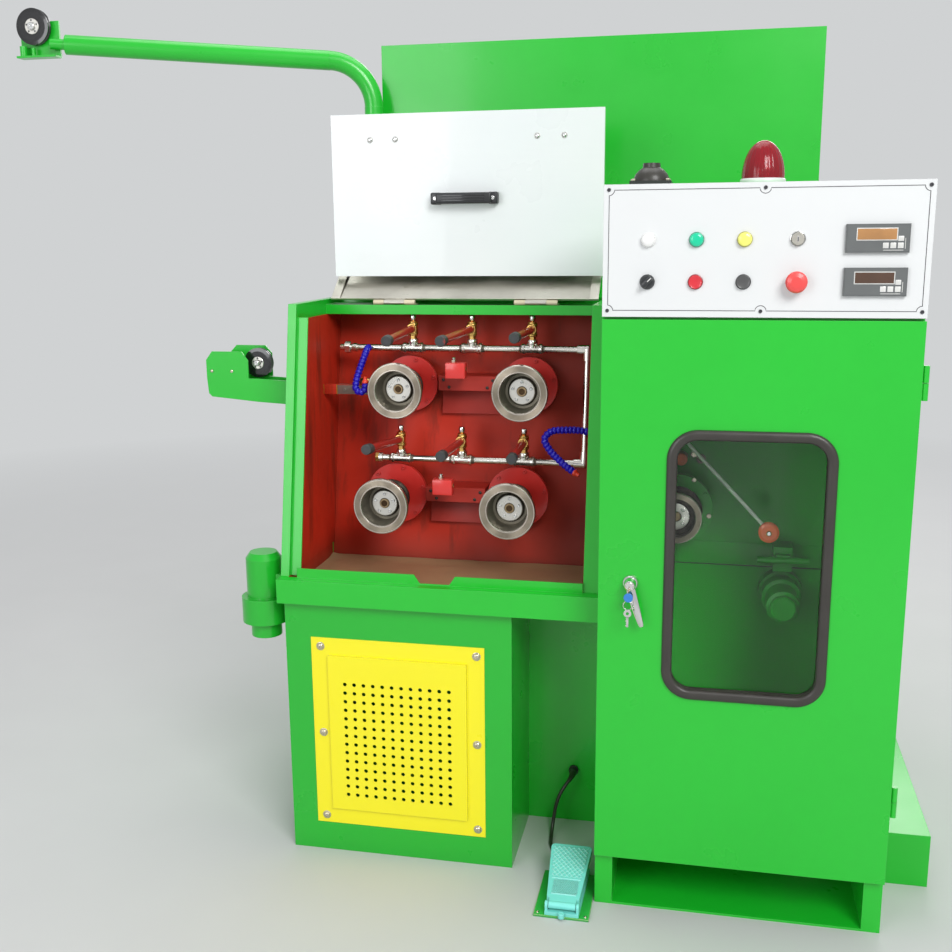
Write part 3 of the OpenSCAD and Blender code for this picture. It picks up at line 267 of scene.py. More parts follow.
def oily_sheet(name, colour, dark_tint):
    """Painted lining under a film of drawing oil: drips, darker towards the floor, the right and the top,
    painted shade in corners, and a wet sheen.
    """
    colour, dark_tint = rgb(*colour), rgb(*dark_tint)
    made, tree = new_material(name, colour, 0.3)
    base = tree.mix(tree.remap(tree.cloud(2.2, 4), 0.2, 0.8), shade(colour, 0.7), shade(colour, 1.2))
    drips = tree.remap(tree.cloud(3, 5, tree.stretch((7, 7, 0.9)), 0.6), 0.52, 0.72, 0.0, 0.7)
    at = tree.put("SeparateXYZ", tree.place()).outputs
    # Darker towards the floor, the right side and the top, broken up by noise.
    near_floor = tree.remap(at[2], 0.72, 0.63, 0.0, 0.75)
    near_right = tree.remap(at[0], -0.42, -0.05, 0.0, 0.8)
    near_top = tree.remap(at[2], 1.14, 1.26, 0.0, 0.35)
    ragged = tree.remap(tree.cloud(4, 5), 0.25, 0.7, 0.4, 1.0)
    rim = tree.math("MAXIMUM", near_floor, tree.math("MAXIMUM", near_right, near_top))
    base = tree.mix(tree.math("MAXIMUM", drips, tree.times(rim, ragged)), base, dark_tint)
    # Painted shade: darker in corners found by ambient occlusion.
    base = tree.mix(tree.closed_in(0.08, 0.7, 0.4), base, shade(dark_tint, 0.8))
    gloss = tree.remap(tree.cloud(11, 4), 0.2, 0.8, 0.36, 0.6)
    waves = tree.bump(0.2, 0.004, tree.cloud(6, 3))
    skin = tree.bump(0.2, 0.0004, tree.cloud(220, 3), Normal=waves)
    tree.surface(Base_Color=base, Roughness=gloss, Specular_IOR_Level=0.25, Normal=skin)
    return made


def film(name):
    """White protective film, stretched over sheet steel with faint creases."""
    white = rgb(238, 240, 239)
    made, tree = new_material(name, white, 0.3)
    base = tree.mix(tree.remap(tree.cloud(2.4), 0.1, 0.9), white, rgb(229, 235, 236))
    gloss = tree.remap(tree.cloud(7, 4), 0.1, 0.9, 0.2, 0.42)
    slant = (0, radians(38), 0)
    slanted = tree.put("Mapping", Vector=tree.place(), Rotation=slant, Scale=(1.2, 1, 9)).outputs[0]
    creases = tree.put("TexNoise", Vector=slanted, Scale=2.6, Detail=5.0, Distortion=0.7).outputs["Fac"]
    skin = tree.bump(0.22, 0.003, creases)
    tree.surface(Base_Color=base, Roughness=gloss, Coat_Weight=0.3, Normal=skin)
    return made


# Paler edge colours below stand for worn edges and a painted highlight; corner_shade darkens corners as
# painted shade.
green = paint("green_paint", (26, 190, 44), edge_colour=(124, 222, 132))
green_cast = paint("green_casting", (26, 175, 38), rough=0.42, peel=0.5, tone=0.25, corner_shade=0.45)
green_dark = paint("green_seams", (22, 70, 30), rough=0.5, tone=0.15, edge=0.1)
red_sheet = oily_sheet("red_lining", (205, 50, 28), (66, 37, 22))
red_tube = paint("red_tubes", (168, 46, 38), tone=0.15, edge=0.2, corner_shade=0.3, corner_shade_colour=(70, 24, 18))
red_part = paint("red_castings", (214, 46, 40), rough=0.32, tone=0.12, edge=0.25, corner_shade=0.35,
    corner_shade_colour=(80, 24, 18))
red_tray = paint("red_trays", (182, 44, 30), rough=0.55, coat=0.0, tone=0.25, edge=0.15, corner_shade=0.6,
    corner_shade_colour=(62, 26, 18))
red_bright = paint("red_die_boxes", (226, 52, 48), tone=0.05, edge=0.2)
yellow = paint("yellow_paint", (250, 238, 20), rough=0.32, tone=0.03, edge=0.15,
    edge_colour=(255, 246, 150))
teal = paint("blue_green_paint", (132, 234, 224), rough=0.42, tone=0.08, peel=0.3, edge=0.4,
    edge_colour=(190, 236, 230), corner_shade=0.3, corner_shade_colour=(30, 70, 66))
# A paler copy of the pedal paint for the raised ribs and studs: painted highlight.
teal_edge = paint("blue_green_ribs", (154, 238, 228), rough=0.42, tone=0.06, edge=0.3,
    edge_colour=(214, 246, 240))
plate_green = paint("green_plate", (40, 176, 66), rough=0.4, edge=1.0, edge_colour=(222, 214, 176),
    radius=0.003, corner_shade=0.3)
# A slightly darker copy of the green paint for the low base and strainer: painted shade.
green_low = paint("green_low", (25, 180, 43), edge_colour=(116, 212, 124), corner_shade=0.2)
basin_dirt = paint("basin_floor", (168, 140, 104), rough=0.34, tone=0.3, corner_shade=0.4,
    corner_shade_colour=(88, 58, 36))
panel_white = paint("white_panel", (226, 228, 228), rough=0.35, coat=0.2, tone=0.015, peel=0.05, edge=0.1,
    edge_colour=(190, 192, 192))
stainless = metal("stainless", (202, 198, 188), 0.36, 9, 0.15, 0.3, (2, 90, 90))
stainless_dull = metal("stainless_worn", (150, 142, 130), 0.5, 9, 0.15, 0.4, (2, 90, 90), 0.55)
galvanised = metal("galvanised", (234, 231, 222), 0.22, 90, 0.25, 0.2)
dark_steel = metal("dark_steel", (82, 78, 74), 0.42, 120, 0.3, 0.5)
recess_steel = metal("recess_steel", (140, 134, 120), 0.46, 110, 0.3, 0.45, metallic=0.85)
hub_steel = metal("hub_steel", (216, 213, 206), 0.3, 80, 0.2, 0.15, metallic=0.9)
ring_steel = spun("ring_steel", (166, 154, 138))
brass = metal("brass", (226, 184, 108), 0.28, 120, 0.25, 0.35)
copper = metal("copper", (214, 128, 74), 0.24, 120, 0.2, 0.3)
cream_strip = metal("cream_strip", (228, 216, 186), 0.42, 90, 0.2, 0.2, metallic=0.3)
chrome = metal("chrome", (226, 226, 224), 0.14, 40, 0.08, 0.12)
# Near-white and not metallic, the dancer's steel rod carries a painted highlight for its bright reflection.
rod_steel = metal("rod_steel", (240, 244, 238), 0.3, 60, 0.1, 0.05, metallic=0.0)
screw_metal = metal("zinc_screws", (214, 206, 186), 0.26, 160, 0.3, 0.25)
shaft_end = metal("shaft_end", (176, 152, 118), 0.34, 140, 0.3, 0.3)
# Painted shade in the capstan shaft-end bores.
bore_dark = metal("bore_dark", (84, 66, 48), 0.5, 140, 0.3, 0.4)
rubber = plastic("rubber", (54, 51, 47), 0.36, 0.08, 0.3, 420)
black = plastic("black_plastic", (36, 37, 40), 0.38, 0.15, 0.25, 380)
black_gloss = plastic("black_gloss", (24, 24, 26), 0.18, 0.6, 0.08, 200)
blue_hose = plastic("blue_plastic", (22, 12, 180), 0.38, 0.12)
nozzle_grey = plastic("nozzle_grey", (58, 60, 60), 0.42, 0.08)
pulley_orange = plastic("pulley_orange", (255, 118, 62), 0.32, 0.25)
hose_tip = plastic("orange_plastic", (232, 66, 36), 0.32, 0.25)
grey_case = plastic("grey_case", (100, 103, 103), 0.6, 0.0)
red_knob = plastic("red_plastic", (236, 78, 76), 0.3, 0.3, 0.1)
lamp_white = plastic("lamp_white", (238, 238, 236), 0.2, 0.5, 0.05)
lamp_red = plastic("lamp_red", (226, 70, 60), 0.25, 0.3, 0.05)
lamp_green = plastic("lamp_green", (0, 206, 156), 0.2, 0.5, 0.05)
rim_green = plastic("rim_green", (0, 140, 108), 0.3, 0.3, 0.05)
lamp_yellow = plastic("lamp_yellow", (255, 255, 120), 0.2, 0.5, 0.05)
rim_yellow = plastic("rim_yellow", (176, 170, 66), 0.3, 0.3, 0.05)
button_red = plastic("button_red", (216, 44, 56), 0.28, 0.4, 0.05)
rim_red = plastic("rim_red", (150, 28, 38), 0.3, 0.3, 0.05)
button_dark = plastic("button_dark", (80, 80, 80), 0.3, 0.3, 0.05)
button_black = plastic("button_black", (44, 46, 48), 0.32, 0.3, 0.05)
display_amber = plastic("display_amber", (180, 130, 78), 0.12, 0.8, 0.02)
display_dark = plastic("display_dark", (82, 56, 40), 0.12, 0.8, 0.02)
print_white = plastic("print_white", (214, 214, 210), 0.4, 0.1, 0.05)
# Black for print and small black parts, and painted shade inside holes, slots and bores.
black_print_and_hole_shade = plastic("black_print_and_hole_shade", (60, 60, 64), 0.45, 0.05, 0.05)
key_blue = plastic("key_blue", (52, 132, 214), 0.3, 0.3)
pane = glass("glass", (0.95, 0.98, 0.96, 1), 0.0, (0.92, 0.96, 0.93, 1))
dome = glass("beacon_dome", rgb(178, 40, 54), 0.12, (0.5, 0.05, 0.08, 1), 1.4, 0.55, 0.06)
lid_film = film("film")

CAPSTANS = {
    "capstan_upper_left": (-520, 305, 1085),
    "capstan_upper_right": (-220, 305, 1085),
    "capstan_lower_left": (-543, 243, 818),
    "capstan_lower_right": (-239, 243, 818),
}
FINAL = (144, 320, 800)
TURNED = {**CAPSTANS, "final_capstan": FINAL}
LOOK_OF = {
    "vent_cover": yellow, "chamber_liner": red_sheet, "lid_hinges": cream_strip, "die_trays": red_tray,
    "capstan_housings": red_part, "coolant_pipes": galvanised, "coolant_valves": brass,
    "spray_tubes": red_tube, "lid_top": stainless, "lid_front": lid_film, "gear_plate": green_cast,
    "control_panel": panel_white, "cable_glands": black, "window_pane": pane, "window_gasket": rubber,
    "dancer_arm": chrome, "dancer_pulley": pulley_orange, "takeup_spindle": green_cast,
    "arm_pulley": black_gloss, "infeed_pulley": black_gloss, "pedal_base": teal, "pedal_treadle": teal,
    "emergency_stop": red_knob, "left_base": green_low, "coolant_strainer": green_low,
}
for name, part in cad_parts.items():
    chosen = LOOK_OF.get(name, green)
    if name in TURNED:
        chosen = turned_steel(name + "_steel", TURNED[name])
    part.data.materials.clear()
    part.data.materials.append(chosen)


# Mesh helpers, in millimetres
def turns(count, start=0.0):
    """Evenly spaced angles round a full turn."""
    return [start + 2 * pi * k / count for k in range(count)]


def around(count, radius, start):
    """Evenly spaced points on a circle, the first one at start degrees."""
    angles = [radians(start + 360 / count * k) for k in range(count)]
    return [(radius * cos(a), radius * sin(a)) for a in angles]


class Form:
    """A mesh in the making, with the materials on it."""

    def __init__(self):
        self.bm = bmesh.new()
        self.looks = []

    def add(self, points, faces, look):
        if look not in self.looks:
            self.looks.append(look)
        corners = [self.bm.verts.new(Vector(p) * MM) for p in points]
        made = [self.bm.faces.new([corners[i] for i in face]) for face in faces]
        for face in made:
            face.material_index = self.looks.index(look)
            face.smooth = True
        return made

    def box(self, low, high, look, edge=0.0, segments=2):
        corners = [(x, y, z) for x in (low[0], high[0]) for y in (low[1], high[1])
            for z in (low[2], high[2])]
        faces = [(0, 1, 3, 2), (4, 6, 7, 5), (0, 4, 5, 1), (2, 3, 7, 6), (0, 2, 6, 4), (1, 5, 7, 3)]
        made = self.add(corners, faces, look)
        if edge:
            lines = list(dict.fromkeys(line for face in made for line in face.edges))
            bmesh.ops.bevel(self.bm, geom=lines, offset=edge * MM, segments=segments, profile=0.5,
                affect="EDGES", clamp_overlap=True)

    def rings(self, rows, look, loop=False):
        """Skins rows of points, each row a closed ring of the same count."""
        n = len(rows[0])
        faces = []
        for i in range(len(rows) if loop else len(rows) - 1):
            a, b = i * n, (i + 1) % len(rows) * n
            faces += [(a + k, a + (k + 1) % n, b + (k + 1) % n, b + k) for k in range(n)]
        if not loop:
            faces.append(tuple(range(n - 1, -1, -1)))
            faces.append(tuple(range((len(rows) - 1) * n, len(rows) * n)))
        self.add([p for row in rows for p in row], faces, look)

    def lathe(self, centre, axis, profile, look, sides=48, turn=0.0):
        """Turns (radius, distance along the axis) pairs about an axis through centre."""
        axis = Vector(axis).normalized()
        u = axis.orthogonal().normalized() if abs(axis.y) < 0.9 else X
        v = axis.cross(u)
        rows = []
        for radius, along in profile:
            r = max(radius, 0.02)
            rows.append([Vector(centre) + axis * along + r * (cos(a) * u + sin(a) * v)
                for a in turns(sides, turn)])
        hollow = profile[0][0] > 0.1 and profile[-1][0] > 0.1
        self.rings(rows, look, hollow)

    def tube(self, path, radius, look, sides=16, loop=False):
        path = [Vector(p) for p in path]
        radii = radius if isinstance(radius, list) else [radius] * len(path)
        count = len(path)
        rows = []
        side = None
        for i, p in enumerate(path):
            before = path[i - 1] if i or loop else p
            after = path[(i + 1) % count] if i < count - 1 or loop else p
            d = (after - before).normalized()
            side = d.orthogonal().normalized() if side is None else (side - d * side.dot(d)).normalized()
            other = d.cross(side)
            rows.append([p + radii[i] * (cos(a) * side + sin(a) * other) for a in turns(sides)])
        self.rings(rows, look, loop)

    def prism(self, outline, start, end, look):
        """A flat outline of (y, z) pairs pushed along X."""
        n = len(outline)
        points = [(x, *p) for x in (start, end) for p in outline]
        faces = [tuple(range(n)), tuple(range(2 * n - 1, n - 1, -1))]
        faces += [(k, k + n, (k + 1) % n + n, (k + 1) % n) for k in range(n)]
        self.add(points, faces, look)

    def done(self, name, body, slot, angle):
        """Makes the object; faces that meet at more than angle degrees keep a sharp edge."""
        bmesh.ops.recalc_face_normals(self.bm, faces=self.bm.faces)
        mesh = bpy.data.meshes.new(name)
        self.bm.to_mesh(mesh)
        self.bm.free()
        for look in self.looks:
            mesh.materials.append(look)
        mesh.set_sharp_from_angle(angle=radians(angle))
        made = bpy.data.objects.new(name, mesh)
        scene.collection.objects.link(made)
        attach(made, body)
        return made


def dome_head(form, centre, axis, radius, look, height=None):
    """A domed screw head with a small cross recess."""
    h = height or radius * 0.55
    profile = ((1, 0.25), (0.92, 0.6), (0.7, 0.88), (0.4, 1), (0.22, 0.98), (0.16, 0.55), (0, 0.55))
    form.lathe(centre, axis, [(radius, -0.4)] + [(radius * r, h * up) for r, up in profile], look, 20)


def hex_head(form, centre, axis, radius, look, height=None):
    h = height or radius * 0.7
    profile = [(radius * 0.97, -0.4), (radius, h * 0.1), (radius, h * 0.82), (radius * 0.86, h), (0, h)]
    form.lathe(centre, axis, profile, look, 6, 0.3)


def socket_head(form, centre, axis, radius, look, height=None):
    h = height or radius
    profile = ((1, 0.85), (0.88, 1), (0.52, 1), (0.5, 0.4), (0, 0.4))
    form.lathe(centre, axis, [(radius, -0.4)] + [(radius * r, h * up) for r, up in profile], look, 18)


def smooth_path(points, parts):
    """A Catmull-Rom curve through the points."""
    pts = [Vector(p) for p in points]
    pts = [2 * pts[0] - pts[1]] + pts + [2 * pts[-1] - pts[-2]]
    out = []
    for a, b, c, d in zip(pts, pts[1:], pts[2:], pts[3:]):
        for k in range(parts):
            t = k / parts
            out.append(0.5 * (2 * b + (c - a) * t + (2 * a - 5 * b + 4 * c - d) * t ** 2
                + (3 * b - 3 * c + d - a) * t ** 3))
    out.append(pts[-2])
    return out


def along(path, step):
    """Points at even steps along a path."""
    out = [path[0].copy()]
    left = step
    for a, b in zip(path, path[1:]):
        length = (b - a).length
        done = 0.0
        while length - done >= left:
            done += left
            out.append(a.lerp(b, done / length))
            left = step
        left -= length - done
    return out


# The pedal's cable is made first
CORD = [(-89, 323, 138), (-89, 312, 138), (-92, 301, 135), (-98, 292, 128), (-106, 285, 117),
    (-114, 280, 103), (-120, 277, 87), (-125, 276, 68), (-128, 275, 48), (-130, 272, 31), (-131, 263, 17),
    (-131, 250, 8), (-130, 235, 5), (-128, 216, 5), (-123, 198, 5), (-116, 182, 5), (-107, 168, 5),
    (-97, 155, 5), (-87, 143, 6), (-78, 133, 9), (-71, 124, 13), (-68, 116, 15), (-68, 108, 15)]


def cord():
    form = Form()
    path = smooth_path(CORD, 4)
    form.tube(path, 4.4, rubber, 14)
    made = form.done("pedal_cable", "machine", "rubber", 60)
    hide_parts("pedal_cord")
    relief = Form()
    relief.tube([(-89, 324, 138), (-89, 317, 138), (-89.5, 309, 137.6), (-92, 300, 134.6), (-96, 294, 130)],
        [8.5, 8.2, 7.0, 5.8, 5.0], rubber, 18)
    relief.done("cable_relief", "machine", "rubber", 60)


cord()


def capstan_details():
    """Recesses, hubs and rings of the four capstans, and the die boxes between them."""
    for name, (x, y, z) in CAPSTANS.items():
        form = Form()
        c = (x, y, z)
        form.lathe(c, Y, [(47.2, 1.5), (46.8, 1.5), (46.7, 14), (41, 47.5), (35, 47.5), (35, 47.9),
            (41.3, 47.9), (47.1, 14)], recess_steel, 64)
        form.lathe(c, Y, [(31.2, 39.6), (31.2, 38.6), (29.5, 37.6), (12.5, 37.6), (12.5, 39.8)], hub_steel,
            56)
        form.lathe(c, Y, [(11.8, 39.8), (11.8, 35.6), (10.4, 34.2), (8, 34.2), (7.6, 36.4), (0, 36.4)],
            shaft_end, 32)
        # Dark dish in the shaft end: painted shade in its bore.
        form.lathe(c, Y, [(7.4, 36.6), (7.2, 35.6), (3.4, 35.2), (0, 36.2)], bore_dark, 28)
        for dx, dz in around(5, 22.5, 18):
            socket_head(form, (x + dx, y + 37.8, z + dz), -Y, 3.6, chrome, 3)
        form.lathe(c, Y, [(62.6, -0.3), (50.5, -0.3), (50.5, 0.6), (62.6, 0.6)], ring_steel, 72)
        form.done(name + "_hub", name, "polished_steel", 30)
    form = Form()
    for name, (x, y, z) in CAPSTANS.items():
        for dx, dz in around(6, 61 if "upper" in name else 67, 15):
            socket_head(form, (x + dx, y + 150, z + dz), -Y, 4.6, red_part, 4)
    for mid, y, z, foot in ((370, 305, 1085, 24), (391, 243, 818, 18)):
        stud = (-mid - 23, y + 82, z + foot + 37)
        hex_head(form, stud, Z, 7.2, screw_metal, 5.6)
        form.lathe(stud, Z, [(3.3, 5.4), (3.3, 7.5), (4.8, 8.4), (4.8, 11), (2.5, 12.4), (0, 12.4)], chrome,
            20)
        for s in (-1, 1):
            dome_head(form, (-mid + s * 62, y + 134, z + 12), -Y, 4, dark_steel)
            dome_head(form, (-mid + s * 48, y + 134, z - 6), -Y, 4, dark_steel)
    form.done("flange_bolts", "machine", "steel", 30)
    form = Form()
    for mid, y, z, foot in ((387, 305, 1085, 24), (408, 243, 818, 18)):
        y0, y1, z0 = y + 66, y + 92, z + foot
        form.box((-mid - 24.4, y0 - 0.5, z0 - 0.4), (-mid + 24.4, y1 + 0.4, z0 + 37.4), red_bright, 2.2)
        for s in (-1, 1):
            hole = (-mid + s * 24, y0 + 13, z0 + 22)
            # The black disc inside the brass ring is painted shade in the hole.
            form.lathe(hole, s * X, [(4.2, 0.2), (4.2, 0.7), (0, 0.7)], black_print_and_hole_shade, 20)
            form.lathe(hole, s * X, [(4.2, 0.2), (5.8, 0.2), (5.6, 0.9), (4.2, 0.9)], brass, 20)
    form.done("die_box_shells", "machine", "red_paint", 30)


def pipework():
    """A tee, a valve and a spray tube's ends at six places along the coolant pipes."""
    upper = [(-508 + 148 * i, 447, 1174) for i in range(3)]
    lower = [(-529 + 153 * i, 391, 908) for i in range(3)]
    reach = [(-7, -190, -12), (-27, -190, -11), (-10, -170, -4), (-34, -150, 3), (-11, -150, -7),
        (0, -150, -8)]
    form = Form()
    for i, (x, y, z) in enumerate(upper + lower):
        top = z + 23
        form.lathe((x, y, top), Z, [(11.4, 8), (12.4, 10), (12.4, 14), (11.2, 16), (11.2, 30), (12.4, 32),
            (12.4, 36), (11.4, 38), (7, 41.5)], brass, 32)
        form.lathe((x, y, top), Z, [(4, 42), (7.6, 47), (7.8, 49), (7.8, 55), (6.4, 58), (3, 59.2),
            (0, 59.2)], chrome, 28)
        form.lathe((x, y, top), Z, [(5.6, 41), (5.6, 47), (4, 47)], copper, 24)
        root = Vector((x, y - 11.6, z + 48))
        tip = root + Vector(reach[i])
        d = (tip - root).normalized()
        form.lathe(root, d, [(9.6, 0), (12.2, 0.5), (12.6, 3), (11.8, 5), (9.4, 5.4)], brass, 32)
        form.lathe(tip, d, [(9.2, -7.4), (12.4, -7), (12.8, -5), (12.8, 11), (11.8, 12.9), (8.6, 13.1),
            (8.4, 12.5), (0, 12.5)], nozzle_grey, 32)
        # Black disc at the tip: painted shade in the nozzle's opening.
        form.lathe(tip, d, [(6.2, 12.4), (6.2, 12.8), (0, 12.8)], black_print_and_hole_shade, 24)
        for s in (-1, 1):
            form.lathe((x + s * 17, y, z), s * X, [(13.2, 0), (13.6, 1), (13.6, 6.5), (12.6, 8),
                (8.3, 8.2)], galvanised, 28)
            form.lathe((x + s * 25, y, z), s * X, [(9.0, 0), (8.7, 1.2), (9.0, 2.4), (8.7, 3.6), (9.0, 4.8),
                (8.2, 6)], recess_steel, 24)
        form.lathe((x, y, z + 12), Z, [(12.6, 0), (13, 1), (13, 8), (12, 9.6), (9, 9.8)], galvanised, 28)
    form.lathe((-684, 447, 1174), X, [(9, -0.5), (14.4, 0), (15.4, 1.2), (15.4, 14.8), (14.4, 16),
        (9, 16.5)], galvanised, 6)
    form.lathe((-592, 391, 908), X, [(0, -4), (9, -4), (11.8, -2), (11.8, 6), (9, 8)], brass, 6)
    form.done("valve_fittings", "machine", "brass", 32)


def hoses():
    """Two hoses of ball segments, each with a tapered tip."""
    left = [(-620, 439, 1174), (-620, 427, 1174), (-619, 413, 1170), (-619, 399, 1160), (-621, 384, 1145),
        (-624, 369, 1127), (-627, 355, 1108), (-628, 346, 1090), (-626, 343, 1083), (-621, 341, 1078),
        (-614.5, 340, 1076.5), (-608, 339, 1078), (-603, 339, 1083), (-601, 339, 1090), (-601, 339, 1103),
        (-601, 339, 1115)]
    right = [(-49, 380, 985), (-58, 380, 985), (-74, 376, 989), (-94, 370, 992), (-118, 362, 993),
        (-150, 350, 991), (-165, 338, 974), (-152, 328, 951), (-130, 318, 931), (-106, 308, 914),
        (-78, 297, 898)]
    form = Form()
    for route, slim, fat, step in ((left, 6.0, 2.6, 1.7), (right, 6.2, 2.6, 1.6)):
        path = smooth_path(route, 10)
        points = along(path, step)
        body, end = points[:-9], points[-10:]
        radii = [slim + fat * sin(pi * (i % 6) / 6) ** 0.6 for i in range(len(body))]
        form.tube(body, radii, blue_hose, 18)
        taper = (6.8, 7.0, 6.8, 6.2, 5.2, 4.4, 4.0, 3.8, 3.7, 3.6)
        form.tube(end, [r * slim / 5.2 for r in taper], hose_tip, 18)
    made = form.done("segmented_hoses", "machine", "blue_plastic", 50)
    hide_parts("coolant_hoses")


def control_details():
    """Lamps, buttons, meters and the border line on the white panel."""
    face = -22
    row_1, row_2 = 1432, 1353
    col_1, col_2, col_3, col_4 = 86, 177, 266, 362
    form = Form()

    def bezel(x, z, look=chrome):
        form.lathe((x, face, z), -Y, [(14.5, -0.2), (14.5, 1.6), (13.9, 3.0), (13.0, 3.4), (12.8, 2.6)],
            look)

    def plate(x0, x1, z0, z1, front, back, look, edge=0.0):
        form.box((x0, face - front, z0), (x1, face - back, z1), look, edge)

    for x, look, rim in ((col_1, lamp_white, lamp_white), (col_2, lamp_green, rim_green),
            (col_3, lamp_yellow, rim_yellow)):
        bezel(x, row_1, rim)
        form.lathe((x, face, row_1), -Y, [(12.9, 1), (12.9, 6), (12.2, 8.4), (10.6, 9.8), (6.6, 10.6),
            (0, 11)], look)
    bezel(col_4, row_1)
    form.lathe((col_4, face, row_1), -Y, [(11.9, 1), (11.9, 7), (11, 8.2), (4, 8.2), (0, 8.2)], stainless)
    # Black slot: painted shade in the key switch's keyhole.
    plate(col_4 - 1.4, col_4 + 1.4, row_1 - 5, row_1 + 5, 9.2, 8, black_print_and_hole_shade, 0.4)
    for x, look, rim in ((col_2, button_red, rim_red), (col_3, button_dark, button_black)):
        bezel(x, row_2, rim)
        form.lathe((x, face, row_2), -Y, [(12.8, 1), (12.8, 6.6), (11.8, 7.8), (10, 7.2), (0, 6.8)], look)
    form.lathe((col_4, face, row_2), -Y, [(10.2, 0), (14.5, 0), (14.5, 8), (13.5, 9), (10.2, 9)], chrome,
        40)
    for z, look in ((row_1, display_amber), (row_2, display_dark)):
        x0, x1, z0, z1 = 447, 559, z - 26, z + 26
        plate(x0, x1, z0, z1, 8, 0, grey_case)
        plate(x0 + 2, x1 - 2, z0 + 2, z1 - 2, 8.5, 7.6, grey_case)
        plate(x0 + 18, x1 - 22, z1 - 30, z1 - 7, 9.1, 8.2, print_white)
        plate(x0 + 19.4, x1 - 23.4, z1 - 28.6, z1 - 8.4, 9.4, 8.6, look, 0.2)
        for bx in (x1 - 47, x1 - 34, x1 - 21):
            plate(bx, bx + 10, z0 + 8, z0 + 18, 9.6, 8.2, print_white, 0.8)
        plate(x1 - 21, x1 - 11, z0 + 21, z0 + 30, 9.6, 8.2, print_white, 0.8)
        plate(x1 - 46, x1 - 11, z0 + 4, z0 + 5, 8.8, 8.2, print_white, 0.1)
        plate(x1 - 8.6, x1 - 7.6, z0 + 7, z0 + 26, 8.8, 8.2, print_white, 0.1)
    made = form.done("panel_devices", "machine", "black_plastic", 32)
    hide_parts("panel_instruments")

    form = Form()
    x = col_1
    form.lathe((x, face, row_2), -Y, [(14.5, 0.2), (14.5, 2.2), (13.6, 4.4), (12.4, 5.6), (12, 6)],
        button_black)
    form.lathe((x, face, row_2), -Y, [(12.2, 5), (12.2, 8), (11.4, 9), (0, 9)], button_black)
    form.box((x - 5, face - 18, row_2 - 12), (x + 5, face - 8.5, row_2 + 12), button_black, 2.2, 3)
    form.box((x - 1.2, face - 18.4, row_2 + 1), (x + 1.2, face - 17.6, row_2 + 11), print_white, 0.3)
    turn = Matrix.Rotation(radians(45), 4, "Y")
    centre = Vector((x, 0, row_2)) * MM
    for point in form.bm.verts:
        point.co = turn @ (point.co - centre) + centre
    made = form.done("selector_knob", "selector_switch", "black_plastic", 32)
    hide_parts("selector_switch")

    form = Form()
    x0, middle, x1, z0, z1, notch = 10, 300, 590, 1298, 1526, 10
    line = []
    for cx, cz, start, end in ((x0, z0, 90, 0), (middle, z0, 180, 0), (x1, z0, 180, 90), (x1, z1, 270, 180),
            (middle, z1, 360, 180), (x0, z1, 0, -90)):
        for k in range(9):
            a = radians(start + (end - start) * k / 8)
            line.append((cx + notch * cos(a), cz + notch * sin(a)))
    inner = []
    for i, p in enumerate(line):
        d = (Vector(line[(i + 1) % len(line)]) - Vector(line[i - 1])).normalized()
        inner.append((p[0] - d.y * 1.3, p[1] + d.x * 1.3))
    front, back = face - 0.25, face + 0.1
    form.rings([[(p[0], y, p[1]) for p in edge] for edge, y in ((line, front), (inner, front),
        (inner, back), (line, back))], black_print_and_hole_shade, loop=True)
    for x in (x0, middle, x1):
        for z in (z0, z1):
            socket_head(form, (x, face, z), -Y, 3.6, black_print_and_hole_shade, 2.0)
    form.done("panel_border", "machine", "black_plastic", 30)


